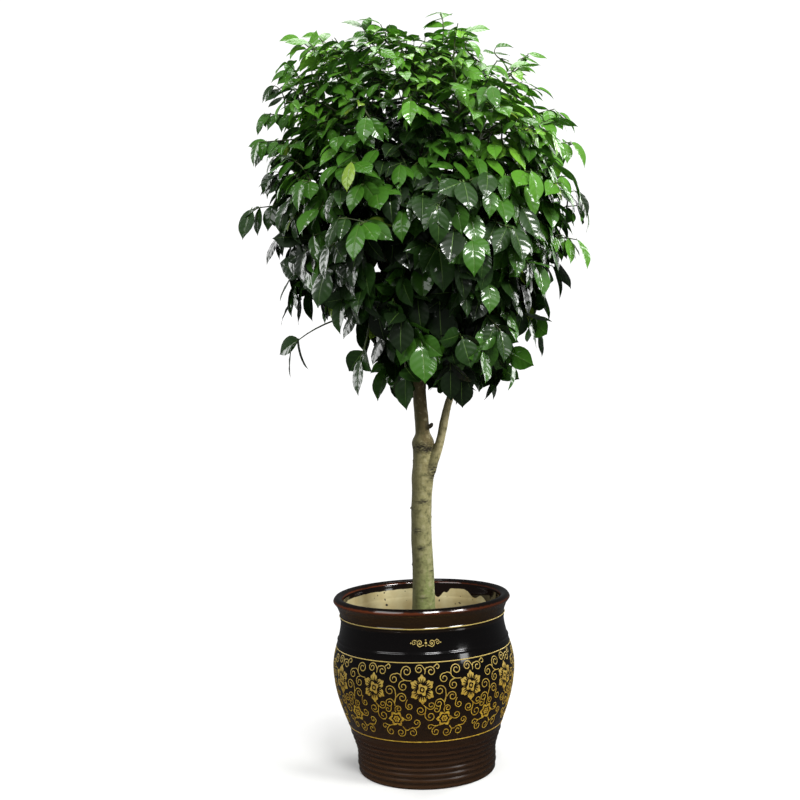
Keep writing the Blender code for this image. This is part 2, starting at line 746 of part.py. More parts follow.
def grow_spray(space, stem, spot, hang, number, count, attempt, dice):
    """One twig off the stem, ending in a leaf, with pairs of leaves before it."""
    out = crown_outward(spot)
    wander = Vector((dice.uniform(-1, 1), dice.uniform(-1, 1), dice.uniform(-1, 1)))
    fall = hang if hang else hang_direction(out, 0.45, dice)
    direction = (fall + wander * 0.07 * attempt).normalized()
    size = 1.0 - 0.02 * attempt
    length = LEAF_LENGTH * size
    width = LEAF_WIDTH * size
    reach = (spot - CROWN_MIDDLE).length
    toward = (space.middle - CROWN_MIDDLE).normalized() * reach
    goal = CROWN_MIDDLE + (spot - CROWN_MIDDLE).lerp(toward, 0.045 * attempt)
    end = goal.lerp(CROWN_MIDDLE, 0.006 * attempt) - direction * length * 0.45
    share = 0.35 + 0.6 * (number + 0.5) / count
    if attempt > 3:
        share = 0.20 + 0.78 * dice.random()
    root, along = point_at(stem, share)
    arrival = (out * 0.75 + direction * 0.55 + Vector((0, 0, 0.25))).normalized()
    distance = (end - root).length
    bend = end - arrival * distance * 0.40
    path = []
    steps = 2
    for step in range(steps + 1):
        t = step / steps
        path.append(root * (1 - t) ** 2 + bend * 2 * t * (1 - t) + end * t * t)
    headings = [(path[i + 1] - path[i]).normalized() for i in range(steps)] + [direction]
    if min(headings[i].dot(headings[i + 1]) for i in range(steps)) < 0.2:
        return None
    if distance < 1.2 * TWIG_RADIUS + FIRST_PAIR:
        return None
    radii = [TWIG_RADIUS + (TWIG_END_RADIUS - TWIG_RADIUS) * i / steps for i in range(steps + 1)]
    upper = out + Vector((0, 0, 0.35)) + wander.cross(direction) * 0.08 * attempt
    vertices, faces = twig_with_leaf(path, radii, direction, upper, length, width)
    last_leaf = leaf_solid(end, direction, upper, length, width)
    if not space.holds(vertices) or not space.off_limbs(vertices, faces):
        return None
    if not space.off_others(*last_leaf, number):
        return None
    outer_twig = tube(path[1:], radii[1:], 3)
    if not space.off_others(*outer_twig, number):
        return None
    space.leaves.append(BVHTree.FromPolygons(blade_only(last_leaf[0], direction), last_leaf[1]))
    space.twigs.append((number, BVHTree.FromPolygons(*outer_twig)))
    parts = [(vertices, faces)]
    total = sum((path[i + 1] - path[i]).length for i in range(steps))
    back = FIRST_PAIR
    for pair in range(PAIRS):
        if back > total * 0.85:
            break
        station, heading = point_at(path, 1 - back / total)
        side = heading.cross(upper).normalized()
        for hand in (-1, 1):
            leaf_heading = (side * hand * 0.85 + heading * 0.28 + direction * 0.55).normalized()
            size = 0.88 + 0.18 * dice.random()
            leaf = try_leaf(space, station, leaf_heading, upper, size, number, dice)
            if leaf:
                parts.append(leaf)
        back += PAIR_SPACING
    return parts


def union_of(name, parts, material, nudge, dice):
    """One union of a stem, its twigs and its leaves. A nudge shifts each part a hair."""
    stem = make_object("foliage_" + name, parts[0][0], parts[0][1], material)
    others = bpy.data.collections.new("parts_of_" + name)
    bpy.context.scene.collection.children.link(others)
    pieces = []
    for index, (vertices, faces) in enumerate(parts[1:]):
        shift = Vector((dice.uniform(-1, 1), dice.uniform(-1, 1), dice.uniform(-1, 1))) * nudge
        moved = [vertex + shift for vertex in vertices]
        piece = make_object("piece_" + str(index), moved, faces, material)
        bpy.context.scene.collection.objects.unlink(piece)
        others.objects.link(piece)
        pieces.append(piece)
    modifier = stem.modifiers.new("joined", "BOOLEAN")
    modifier.operation = "UNION"
    modifier.operand_type = "COLLECTION"
    modifier.collection = others
    modifier.solver = "MANIFOLD"
    apply_modifiers(stem)
    for piece in pieces:
        bpy.data.objects.remove(piece, do_unlink=True)
    bpy.data.collections.remove(others)
    return stem


def join_mass(name, parts, material, dice):
    """The joined mass, closed and in one piece. It fails loudly where no nudge gives that."""
    for attempt in range(12):
        stem = union_of(name, parts, material, 0.00004 * attempt, dice)
        dropped, faults = clean_mass(stem)
        if faults == 0 and max(dropped, default=0) < 12:
            return stem
        bpy.data.objects.remove(stem, do_unlink=True)
    raise RuntimeError("no closed union for " + name)


def shells_of(shape):
    """The separate closed shells of a mesh, as lists of faces."""
    left = set(shape.faces)
    shells = []
    while left:
        seed = left.pop()
        shell = [seed]
        queue = [seed]
        while queue:
            face = queue.pop()
            for edge in face.edges:
                for other in edge.link_faces:
                    if other in left:
                        left.discard(other)
                        shell.append(other)
                        queue.append(other)
        shells.append(shell)
    return shells


def clean_mass(item):
    """Keep a joined mesh's outer shell alone: sealed hollows are filled and scraps dropped."""
    shape = bmesh.new()
    shape.from_mesh(item.data)
    bmesh.ops.remove_doubles(shape, verts=shape.verts, dist=0.000002)
    bmesh.ops.dissolve_degenerate(shape, edges=shape.edges, dist=0.000002)
    bmesh.ops.triangulate(shape, faces=[face for face in shape.faces if len(face.verts) > 3])
    shells = shells_of(shape)
    shells.sort(key=len)
    dropped = [len(shell) for shell in shells[:-1]]
    for shell in shells[:-1]:
        bmesh.ops.delete(shape, geom=shell, context="FACES")
    loose = [vertex for vertex in shape.verts if not vertex.link_faces]
    bmesh.ops.delete(shape, geom=loose, context="VERTS")
    bmesh.ops.recalc_face_normals(shape, faces=shape.faces)
    faults = len([edge for edge in shape.edges if len(edge.link_faces) != 2])
    shape.to_mesh(item.data)
    shape.free()
    return dropped, faults


def build_foliage(limbs, feeds, material):
    """Every mass of foliage, each in its own share of the crown."""
    middles = {name: middle for name, middle, parent, place in bough_plan()}
    chosen = spray_middles(middles)
    for number, name in enumerate(middles):
        dice = random.Random(SEED * 100 + number)
        space = Space(name, middles, limbs, feeds[name][2])
        parts = grow_mass(name, space, feeds[name], chosen[name], dice)
        join_mass(name, parts, material, dice)


def main():
    clear_scene()
    glaze = make_material("dark_glaze", (0.030, 0.018, 0.012), 0.18)
    earth = make_material("potting_soil", (0.055, 0.036, 0.024), 0.95)
    bark = make_material("bark", (0.300, 0.270, 0.150), 0.80)
    leaf = make_material("leaf", (0.050, 0.150, 0.030), 0.35)
    build_pot(glaze)
    build_soil(earth)
    limbs, feeds = build_limbs(bark)
    build_foliage(limbs, feeds, leaf)


main()
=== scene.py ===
"""A potted china doll plant: a glazed pot with gilt scrollwork, bark, twigs and glossy leaves.

The limbs and the foliage grow by the rule of the part's source, carried on to finer twigs.
Metres, +Z up, the front of the plant faces -Y.
"""

import json
import math
import random

import bmesh
import bpy
from bpy.props import FloatProperty, FloatVectorProperty, IntProperty, PointerProperty
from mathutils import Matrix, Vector
from mathutils import noise

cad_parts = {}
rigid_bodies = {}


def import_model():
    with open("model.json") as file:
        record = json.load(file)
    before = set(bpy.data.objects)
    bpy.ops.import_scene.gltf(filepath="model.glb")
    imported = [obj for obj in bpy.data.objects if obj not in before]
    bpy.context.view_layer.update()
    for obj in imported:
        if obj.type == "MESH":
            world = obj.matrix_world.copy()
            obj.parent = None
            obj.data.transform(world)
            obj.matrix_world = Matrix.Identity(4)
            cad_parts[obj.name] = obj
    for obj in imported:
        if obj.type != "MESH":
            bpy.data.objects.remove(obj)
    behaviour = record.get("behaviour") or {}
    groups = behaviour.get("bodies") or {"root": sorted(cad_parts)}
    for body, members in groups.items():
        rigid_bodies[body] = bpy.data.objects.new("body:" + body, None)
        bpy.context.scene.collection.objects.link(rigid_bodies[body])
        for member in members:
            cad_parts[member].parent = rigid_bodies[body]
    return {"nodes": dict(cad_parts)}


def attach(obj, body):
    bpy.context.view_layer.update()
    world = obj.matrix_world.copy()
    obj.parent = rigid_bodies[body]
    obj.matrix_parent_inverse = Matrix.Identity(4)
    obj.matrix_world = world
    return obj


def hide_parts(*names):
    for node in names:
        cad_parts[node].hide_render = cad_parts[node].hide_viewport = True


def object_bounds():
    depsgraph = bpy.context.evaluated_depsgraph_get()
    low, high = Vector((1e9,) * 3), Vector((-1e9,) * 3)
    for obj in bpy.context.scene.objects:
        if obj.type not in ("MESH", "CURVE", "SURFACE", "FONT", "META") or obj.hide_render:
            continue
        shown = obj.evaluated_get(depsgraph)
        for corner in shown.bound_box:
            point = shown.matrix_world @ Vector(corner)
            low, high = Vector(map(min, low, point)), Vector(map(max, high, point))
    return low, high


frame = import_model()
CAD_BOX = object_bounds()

bl_info = {
    "name": "Potted china doll plant",
    "version": (1, 0, 0),
    "blender": (4, 5, 0),
    "location": "3D View > Sidebar > Plant",
    "description": "Makes the pot, soil, bark, twigs and leaves of a potted china doll plant",
    "category": "Object",
}

# Driving dimensions of the solids, in metres, as the part's source has them.
GAP = 0.0003
POT_FOOT_RADIUS = 0.1452
POT_FOOT_HEIGHT = 0.042
POT_BELLY_RADIUS = 0.1928
POT_BELLY_HEIGHT = 0.221
POT_NECK_RADIUS = 0.1739
POT_NECK_HEIGHT = 0.322
POT_LIP_RADIUS = 0.1887
POT_LIP_HEIGHT = 0.359
POT_TOP_HEIGHT = 0.369
POT_MOUTH_RADIUS = 0.1675
POT_WALL = 0.0125
POT_FLOOR = 0.018
RIB_COUNT = 7
RIB_FIRST_HEIGHT = 0.0165
RIB_PITCH = 0.0112
RIB_DEPTH = 0.0013
BELLY_POWER = 1.3
# Beads round the neck: height, reach and depth. The top one carries a gilt line.
TOP_BEAD_HEIGHT = 0.3285
BEADS = ((0.2800, 0.0035, 0.0016), (0.3210, 0.0028, 0.0010), (TOP_BEAD_HEIGHT, 0.0032, 0.0020))
# The foot's section, out from the middle of its underside.
FOOT_SECTION = ((0.0, 0.0), (0.07, 0.0), (POT_FOOT_RADIUS - 0.0030, 0.0),
                (POT_FOOT_RADIUS - 0.0008, 0.0006), (POT_FOOT_RADIUS, 0.0024))
# The rolled lip's section above the collar, over the top and down into the mouth.
LIP_SECTION = (
    (0.1810, 0.3490), (0.1841, 0.3535), (0.1870, 0.3572), (0.1884, 0.3596), (0.1881, 0.3618),
    (0.1869, 0.3640), (0.1855, 0.3661), (0.1832, 0.3681), (0.1798, POT_TOP_HEIGHT),
    (0.1760, 0.3685), (0.1712, 0.3665), (POT_MOUTH_RADIUS, 0.3615),
    (POT_MOUTH_RADIUS - 0.0015, 0.3540), (0.1640, 0.3450), (0.1628, 0.3380),
)
# The profile's outside runs from the foot to the lip in coarse and fine steps. Coarse ones do
# where it is plain.
SIDE_LOW = 0.0045
SIDE_TOP = 0.3430
LIP_LOW = 0.3435
COARSE_STEP = 0.0050
FINE_STEP = 0.0010
PLAIN_STRETCHES = ((0.094, 0.272), (0.286, 0.316))
# A ledge inside the neck, from its top to its foot, and its depth.
LEDGE_HEIGHTS = (0.3340, 0.3320, 0.3305, 0.3290, POT_NECK_HEIGHT)
LEDGE_DEPTH = 0.0009
# The glaze's edge inside the mouth, and its drips: distance to the right of the axis, half width
# and length.
GLAZE_EDGE_HEIGHT = 0.3500
GLAZE_DRIPS = ((0.040, 0.013, 0.020), (0.061, 0.006, 0.008), (0.120, 0.012, 0.016),
               (0.164, 0.020, 0.055))

SOIL_CLEARANCE = 0.001
SOIL_ROWS = 22
SOIL_SEGMENTS = 64
SOIL_HEIGHT = 0.275
SOIL_EDGE_DROP = 0.006

TRUNK_FLARE_RADIUS = 0.0290
TRUNK_RADIUS = 0.0226
TRUNK_TIP_HEIGHT = 1.330
FORK_TOP_HEIGHT = 0.70
LEADER_START_HEIGHT = 0.705
# How far the trunk leans up to its fork, how far the leader drifts over it, and its waves across
# and in depth, each with its reach and its radians to the metre.
TRUNK_LEAN = 0.0135
LEADER_DRIFT = 0.018
TRUNK_WAVES = ((0.0022, 21.0), (0.008, 4.2))
FLARE_REACH = 0.030
TRUNK_THINNING = 0.0008
COLLAR_HEIGHT = 0.615
COLLAR_REACH = 0.022
COLLAR_DEPTH = 0.0016
SWELLING_HEIGHT = 0.690
SWELLING_REACH = 0.012
SWELLING_SPARE = 0.0012
SWELLING_RADIUS = 0.0236
LEADER_RADIUS = 0.0158
LEADER_TIP_RADIUS = 0.0046
RIGHT_STEM_RADIUS = 0.0122
RIGHT_STEM_TIP_RADIUS = 0.0050
# Heights of the trunk's rings up to the leader, and how many spans the leader has.
TRUNK_RINGS = (0.290, 0.315, 0.360, 0.440, 0.530, 0.590, 0.615, 0.645, 0.676, 0.690, 0.702,
               0.714, 0.760)
LEADER_SPANS = 7
# Where boughs leave: the lowest height on the trunk by ring, the step from one to the next, and
# the share of the way along the second stem.
LOWEST_BOUGHS = {"upper": 1.060, "middle": 0.900, "lower": 0.780}
BOUGH_STEP = 0.022
LOW_BOUGH_PLACE = 0.66
LOW_BOUGH_RADIUS = 0.0058
BOUGH_SHARE = 0.60              # a bough's first radius as a share of the trunk's there
BOUGH_COLLAR = 0.45             # how much wider a bough's root is in the bark
# A bough that would cross another limb is tried again, this much higher or lower each time.
BOUGH_ATTEMPTS = 20
BOUGH_SHIFT = 0.010
BOUGH_SPARE = 0.002
# A bough ends at a share of the way from the crown's middle to its mass's, and a little lower.
HUB_OUT = 0.54
HUB_UP = 0.78
HUB_DROP = 0.03
STEM_RADIUS = 0.0042
MAIN_TWIG_RADII = (0.0030, 0.0010)
FINE_TWIG_RADII = (0.0019, 0.0008)
RIGHT_STEM_POINTS = (
    (0.0315, -0.004, 0.637), (0.0520, -0.006, 0.695), (0.0690, -0.006, 0.764),
    (0.0880, -0.004, 0.817), (0.1230, 0.004, 0.910), (0.1500, 0.010, 1.010),
)

# The crown's round outline: middle, width, height up and down, and how square it is.
CROWN_MIDDLE = Vector((0.034, 0.0, 1.185))
CROWN_RADIUS = 0.350
CROWN_RISE = 0.408
CROWN_DROP = 0.400
CROWN_POWER = 2.45
SPRAY_COUNT = 98
SURFACE_SAMPLES = 1400
FINE_SAMPLES = 4200
OWNED_DEPTH = 0.90              # where a sample's nearest mass is looked for
MAIN_DEPTH = 0.93               # how far out the main sprays are, at least
MAIN_DEPTH_SPREAD = 0.08        # random part of that
INNER_DEPTHS = (0.46, 0.72)     # how far out the shaded inner sprays are
DEPTH_SPREAD = 0.05             # random part of the other fine sprays' depth
# How far leaves lean outward: those of main sprays, and those of single sprays at the edge.
MAIN_LEAN = 0.45
FRINGE_LEAN = 0.70
# Spans of a mass's stem and of its twigs, and the first place on the stem where twigs join.
STEM_SPANS = 5
MAIN_SPANS = 9
FRINGE_SPANS = 8
FINE_SPANS = 6
FIRST_JOINT = 8
FRINGE_PAIRS = 2
WALL_REACH = 0.042              # how far main sprays stay inside their mass's walls
SOLID_LEAF_LENGTH = 0.102
LEAF_FORWARD = 0.55             # share of a solid leaf that is beyond its middle
FARTHEST_FINE_SPRAY = 1.02
CELL_MARGIN = 0.0010            # half the gap between neighbouring masses
# How far a leaf's tip may pass the solids' box, for outlying leaves and for the rest.
OUTLYING_SPARE = 0.017
PLAIN_SPARE = 0.004
SEED = 41
# Rings of masses: name, count, distance from the axis, rise over the middle, and turn in
# degrees.
RINGS = (
    ("top", 1, 0.000, 0.310, 0.0),
    ("upper", 4, 0.200, 0.185, 30.0),
    ("middle", 5, 0.235, -0.030, -2.0),
    ("lower", 4, 0.185, -0.245, 38.0),
)
# How many fine sprays each ring has for its share of the crown's outline.
RING_DENSITY = {"top": 1.25, "upper": 1.25, "middle": 1.0, "lower": 0.80}
# How far the fine sprays reach to the left and right of the pot's axis, by height.
OUTLINE = (
    (0.765, -0.045, 0.110), (0.800, -0.060, 0.180), (0.836, -0.085, 0.190),
    (0.879, -0.090, 0.225), (0.922, -0.100, 0.255), (0.958, -0.130, 0.270),
    (0.988, -0.258, 0.285), (1.050, -0.248, 0.346), (1.136, -0.302, 0.362),
    (1.179, -0.268, 0.362), (1.222, -0.292, 0.354), (1.307, -0.316, 0.355),
    (1.350, -0.255, 0.350), (1.393, -0.302, 0.330), (1.436, -0.262, 0.280),
    (1.478, -0.268, 0.240), (1.564, -0.190, 0.150), (1.605, -0.060, 0.060),
)
# The crown's dome: its top, how wide that is flat, and its slopes outward and to the front.
DOME_TOP = 1.592
DOME_FLAT = 0.060
DOME_SLOPE = 0.34
DOME_FRONT_SLOPE = 0.10
DOME_SPARE = 0.006
BARE_TWIG_HEIGHT = 0.95
# Fine sprays stay off the front of the trunk up to here, and between these sides.
BARE_TRUNK_TOP = 0.905
BARE_TRUNK_SIDES = (-0.026, 0.034)
# Places where the crown opens to its dark inside: middle, radius, and share of the depth kept.
# Most sprays in them get a darker green as painted shade.
HOLLOWS = (
    (Vector((-0.050, -0.330, 0.990)), 0.115, 0.68),
    (Vector((-0.010, -0.300, 0.885)), 0.075, 0.82),
    (Vector((0.000, -0.330, 1.258)), 0.088, 0.71),
    (Vector((-0.030, -0.330, 1.160)), 0.075, 0.76),
    (Vector((-0.074, -0.320, 1.380)), 0.055, 0.80),
    (Vector((0.120, -0.310, 0.930)), 0.060, 0.80),
    (Vector((-0.130, 0.290, 1.080)), 0.080, 0.76),
    (Vector((0.330, 0.130, 1.060)), 0.070, 0.78),
)
# Leaves that stand out from the crown: name, and where the solids' last leaf ends.
OUTLYING_TIPS = (
    ("top_sprig", 0.052, -0.010, 1.612),
    ("top_left_of_middle", -0.085, -0.060, 1.590),
    ("upper_left_cluster", -0.245, -0.040, 1.548),
    ("upper_right_cluster", 0.318, 0.020, 1.520),
    ("right_of_top", 0.180, -0.060, 1.565),
    ("left_hanging_pair", -0.330, 0.030, 1.372),
    ("left_drooping_leaf", -0.362, -0.030, 1.140),
    ("left_shoulder", -0.334, -0.060, 1.285),
    ("right_shoulder", 0.375, -0.050, 1.262),
    ("right_reaching_leaf", 0.410, 0.020, 1.135),
    ("right_hanging_leaf", 0.372, -0.090, 1.045),
    ("low_left_twig", -0.276, -0.020, 0.842),
    ("low_right_leaf", 0.296, 0.040, 0.866),
    ("lowest_right_leaf", 0.214, -0.060, 0.792),
    ("lowest_left_leaf", -0.118, -0.110, 0.800),
    ("lowest_middle_leaf", -0.020, -0.120, 0.764),
)
# Single fine sprays whose last leaf ends here, outside the crown's even outline.
FRINGE_TIPS = (
    (-0.285, -0.020, 1.000), (-0.288, 0.010, 0.950), (-0.322, 0.030, 1.095),
    (-0.322, 0.010, 1.240), (-0.332, -0.020, 1.300), (-0.315, -0.010, 1.440),
    (0.398, -0.010, 1.168), (0.366, -0.030, 1.068), (0.352, 0.040, 1.020),
    (0.368, 0.000, 1.350), (0.362, 0.030, 1.300), (0.330, 0.010, 1.425),
    (-0.262, -0.030, 1.562), (-0.216, 0.000, 1.578), (-0.284, -0.050, 1.472),
    (-0.120, -0.040, 1.592), (0.245, 0.020, 1.552), (0.272, -0.040, 1.486),
)

# Each form of leaflet: its width, fold, droop and twist. The first three are the narrower
# ones of the crown's upper part, and the last three the broad ones of its lower part.
LEAF_FORMS = (
    (0.84, 0.30, 0.26, 0.10), (0.92, 0.18, 0.34, -0.25), (0.78, 0.10, 0.22, 0.25),
    (1.08, 0.16, 0.12, 0.00), (1.18, 0.06, 0.18, 0.20), (1.00, 0.24, 0.20, -0.15),
)
# The greens, from the darkest to the lightest; the darker ones are dealt out as painted shade
# inside the crown and in its hollows. The last is that of young leaves.
SHADES = (
    ("leaf_deep_shade", "#16280e"),
    ("leaf_dark_green", "#223f13"),
    ("leaf_full_green", "#396719"),
    ("leaf_mid_green", "#508623"),
    ("leaf_fresh_green", "#6da330"),
    ("leaf_lime_green", "#7f9f35"),
)
RIB_GREEN = "#52702f"
LIGHTEST_SPRAY = 4              # place in the list of a whole spray's lightest green
# A spray's green in steps of the list: its rise to the crown's top, the gain on the lit right as
# painted light, and what is taken off as painted shade inside the crown and, for most sprays, in
# its hollows.
TONE_RISE = 2.05
TONE_RIGHT = 0.7
TONE_INSIDE = 2.2
TONE_HOLLOW = 2.4
LIT_DEPTH = 0.80
HOLLOW_CHANCE = 0.85
LIME_SHARE = 0.012              # share of single leaflets that are young
BROAD_LEAVES_BELOW = 0.42       # share of the crown's height
# The leaf's outline: share of its length, and half its width as a share of the widest.
LEAF_ROWS = ((-0.09, 0.035), (0.00, 0.07), (0.05, 0.42), (0.13, 0.73), (0.24, 0.95),
             (0.38, 1.00), (0.52, 0.93), (0.66, 0.70), (0.79, 0.36), (0.90, 0.11),
             (1.00, 0.005))
LEAF_COLUMNS = (-1.0, -0.52, -0.028, 0.028, 0.52, 1.0)
# What each leaflet's point says besides its place.
LEAF_LAYERS = (("heading", "FLOAT_VECTOR"), ("upper", "FLOAT_VECTOR"), ("size", "FLOAT"),
               ("shade", "INT"), ("variant", "INT"))

# Ring marks of the bark, and its scars: height, direction in degrees (the front is -90), half
# the width and half the height. The stub is what is left of a dead twig.
BARK_RINGS = (0.330, 0.368, 0.410, 0.456, 0.505, 0.548, 0.588, 0.642, 0.760, 0.830)
BARK_SCARS = (
    (0.6800, -100, 0.021, 0.0105), (0.6765, -62, 0.010, 0.0075), (0.6270, -34, 0.012, 0.0175),
    (0.5650, -85, 0.016, 0.0046), (0.5030, -112, 0.011, 0.0054), (0.4660, -95, 0.010, 0.0048),
    (0.3615, -92, 0.010, 0.0016), (0.3830, -150, 0.003, 0.0030), (0.6000, 100, 0.012, 0.0032),
    (0.5300, 30, 0.011, 0.0034), (0.4300, 160, 0.012, 0.0032), (0.4050, 40, 0.010, 0.0028),
    (0.3300, -20, 0.010, 0.0022), (0.6860, 65, 0.015, 0.0050), (0.6500, 170, 0.010, 0.0034),
    (0.5500, -172, 0.009, 0.0030), (0.4180, -40, 0.006, 0.0025),
)
STUB = Vector((0.0350, -0.006, 0.7275))
STUB_LINE = (Vector((0.0230, -0.003, 0.7215)), Vector((0.0300, -0.006, 0.7240)),
             Vector((0.0348, -0.007, 0.7275)), Vector((0.0358, -0.007, 0.7325)))
STUB_RADII = (0.0044, 0.0050, 0.0046, 0.0030)
TRUNK_SIDES = 24
BOUGH_SIDES = 14
STUB_SIDES = 12
# Ring marks show up to the first height, and scars up to the second. Scars over the third are
# the fork's.
RINGS_TOP = 0.86
SCARS_TOP = 0.74
FORK_SCARS = 0.66
# Width, relief and darkness of ring marks, and reach and darkness of the stub's scar.
RING_MARK_WIDTH = 0.0013
RING_MARK_RELIEF = 0.0003
RING_MARK_SHADE = 0.14
STUB_REACH = 0.0090
STUB_SHADE = 1.8
DARKEST_SCAR = 0.95

# The gilt band: one repeat of twelve, unrolled at the belly, in millimetres from the middle of
# the large flower and from the band's lower line.
BAND_LOW = 0.1022
BAND_HIGH = 0.2651
REPEATS = 12
FIRST_REPEAT = -2.2             # degrees from the front to the first large flower
# The flowers: middle, half the width and half the height.
LARGE_FLOWER = (0.0, 111.7, 25.0, 29.0)
SMALL_FLOWER = (44.2, 50.7, 17.5, 16.5)
CURL_GROWTH = 1.07
STROKE_SHARE = 0.80             # width of a stroke as a share of a gilt line's
# Lines all the way round, as height in metres and width in millimetres, and the ornament on
# the neck: its lower line, and the height of its middle over that.
GILT_LINES = ((BAND_LOW, 2.1), (BAND_HIGH, 1.9), (TOP_BEAD_HEIGHT, 2.1))
ORNAMENT_LOW = 0.2795
ORNAMENT_HEIGHT = 22.0
LINE_SEGMENTS = 240
# How far the gilt stands out in millimetres: sunk sides, a stroke's edge and its crest, a
# petal, a dot, and a line's edge and crest.
GILT_SUNK = -0.35
STROKE_EDGE = 0.24
STROKE_CREST = 0.30
PETAL_OUT = 0.3
DOT_OUT = 0.45
LINE_EDGE = 0.12
LINE_CREST = 0.42
ORNAMENT_TURN = 1.0             # degrees
# Each stroke: its vine's points, the middle and radius of its curl, the angle in degrees at
# which the curl starts, and its turns, more than 0 where it runs anticlockwise.
STROKES = (
    (((-21.3, 129.2), (-33.8, 130.4), (-41.4, 136.9)), (-30.4, 147.1), 10.4, 180, -1.45),
    (((-41.4, 136.9), (-44.2, 141.2), (-50.0, 143.2)), (-56.4, 132.2), 9.5, 75, 1.35),
    (((-33.8, 130.4), (-41.4, 127.8)), (-37.7, 118.1), 9.0, 130, 1.30),
    (((6.0, 141.7), (6.9, 148.4)), (-5.2, 150.6), 8.6, 40, 1.40),
    (((6.9, 148.4), (9.6, 153.7)), (18.6, 146.5), 9.0, 130, -1.30),
    (((24.7, 154.7), (29.3, 158.2)), (31.6, 154.0), 5.4, 90, -0.70),
    (((44.2, 85.2), (47.0, 95.4)), (35.0, 108.8), 10.8, 0, 1.40),
    (((44.2, 85.2), (46.1, 94.3)), (60.2, 95.4), 9.9, 165, -1.40),
    (((70.4, 91.9), (67.5, 85.4)), (74.1, 78.3), 7.2, 180, 1.25),
    (((44.2, 78.2), (43.1, 85.4)), (32.7, 82.9), 9.0, 60, 1.30),
    (((1.1, 81.2), (6.0, 76.6)), (16.8, 79.6), 8.1, -120, 1.30),
    (((35.4, 78.0), (35.4, 73.3)), (27.7, 70.4), 6.3, 0, -1.00),
    (((44.2, 64.9), (42.8, 70.2)), (50.8, 72.0), 7.2, 190, -1.35),
    (((1.1, 81.2), (5.6, 76.6)), (-4.5, 69.4), 9.9, 10, -1.45),
    (((5.4, 65.3), (3.8, 60.6)), (15.0, 56.9), 10.4, 180, 1.25),
    (((61.2, 50.6), (65.0, 48.9)), (70.4, 56.5), 7.7, -110, 1.30),
    (((75.3, 33.0), (86.6, 32.6)), (86.6, 43.5), 7.2, -30, 1.20),
    (((55.9, 34.7), (60.7, 27.6)), (76.6, 21.6), 10.4, 150, -1.40),
    (((57.0, 33.0), (60.7, 27.6)), (50.0, 21.1), 9.5, 0, -1.35),
    (((35.0, 37.3), (25.9, 35.0)), (26.3, 22.9), 8.6, 150, 1.20),
    (((26.0, 36.5), (22.5, 35.9)), (14.1, 33.1), 5.9, 60, 0.90),
)


# The studio. Each light: name, place, what it lights, width and height, share of the key
# light's power, and whether it leaves out the spared pieces.
FLOOR_HEIGHT = -0.0004
FLOOR_RADIUS = 1.05
FLOOR_SEGMENTS = 64
PLANT_MIDDLE = (0.02, 0.0, 0.85)
LIGHTS = (
    ("front_softbox", (0.55, -2.30, 2.75), PLANT_MIDDLE, 0.9, 0.5, 0.66, False),
    ("right_softbox", (2.15, -1.75, 2.45), PLANT_MIDDLE, 0.9, 0.7, 0.74, False),
    ("left_side_softbox", (-2.35, 1.55, 1.7), PLANT_MIDDLE, 1.2, 2.6, 0.40, True),
    ("right_side_softbox", (2.35, 1.65, 1.7), PLANT_MIDDLE, 1.2, 2.6, 0.60, True),
    ("left_fill", (-2.4, -1.9, 2.9), PLANT_MIDDLE, 2.2, 1.4, 0.42, False),
    ("low_right_softbox", (2.05, -1.60, 1.05), (0.0, 0.0, 0.2), 0.50, 0.36, 0.045, False),
    ("top_softbox", (0.1, 0.3, 3.2), (0.03, 0.0, 1.2), 1.5, 1.5, 0.38, False),
)


# General helpers.
def linear(hex_colour):
    """An sRGB hex colour as linear red, green and blue."""
    text = hex_colour.lstrip("#")
    channels = [int(text[place:place + 2], 16) / 255.0 for place in (0, 2, 4)]
    return tuple(c / 12.92 if c <= 0.04045 else ((c + 0.055) / 1.055) ** 2.4 for c in channels)


def input_of(node, key):
    """A node's input, by its place, its identifier or its name."""
    if not isinstance(key, int):
        for socket in node.inputs:
            if socket.identifier == key:
                return socket
    return node.inputs[key]


def add_node(tree, kind, settings=None, inputs=None):
    """Add a node, with its settings and its inputs: each a value, or the socket that feeds it."""
    node = tree.nodes.new(kind)
    for name, value in (settings or {}).items():
        setattr(node, name, value)
    for key, value in (inputs or {}).items():
        if isinstance(value, bpy.types.NodeSocket):
            tree.links.new(value, input_of(node, key))
        else:
            input_of(node, key).default_value = value
    return node


def new_material(name, values):
    """A material with one shader, whose even values are set on the shader itself."""
    material = bpy.data.materials.new(name)
    material.use_nodes = True
    tree = material.node_tree
    shader = tree.nodes["Principled BSDF"]
    for socket, value in values.items():
        shader.inputs[socket].default_value = value
    material.diffuse_color = shader.inputs["Base Color"].default_value
    return material, tree, shader


def maths(tree, operation, *inputs):
    """One step of arithmetic on its inputs, in order."""
    return add_node(tree, "ShaderNodeMath", {"operation": operation},
                    dict(enumerate(inputs))).outputs[0]


def ranged(tree, value, low, high, first=0.0, last=1.0, **settings):
    """A value that runs from first to last while another runs from low to high."""
    node = add_node(tree, "ShaderNodeMapRange", settings, {
        "Value": value, "From Min": low, "From Max": high, "To Min": first, "To Max": last})
    return node.outputs["Result"]


def object_place(tree):
    """Where a point is on its object."""
    return add_node(tree, "ShaderNodeTexCoord").outputs["Object"]


def parts_of(tree, vector):
    """The three parts of a vector."""
    return list(add_node(tree, "ShaderNodeSeparateXYZ", None, {0: vector}).outputs)


def stretched(tree, place, height):
    """A place whose pattern is drawn out upward, by a height scale under 1."""
    return add_node(tree, "ShaderNodeVectorMath", {"operation": "MULTIPLY"},
                    {0: place, 1: (1.0, 1.0, height)}).outputs[0]


def grain(tree, place, scale, detail, roughness=0.5):
    """An even noise, from 0 to 1."""
    node = add_node(tree, "ShaderNodeTexNoise", None, {
        "Vector": place, "Scale": scale, "Detail": detail, "Roughness": roughness})
    return node.outputs["Fac"]


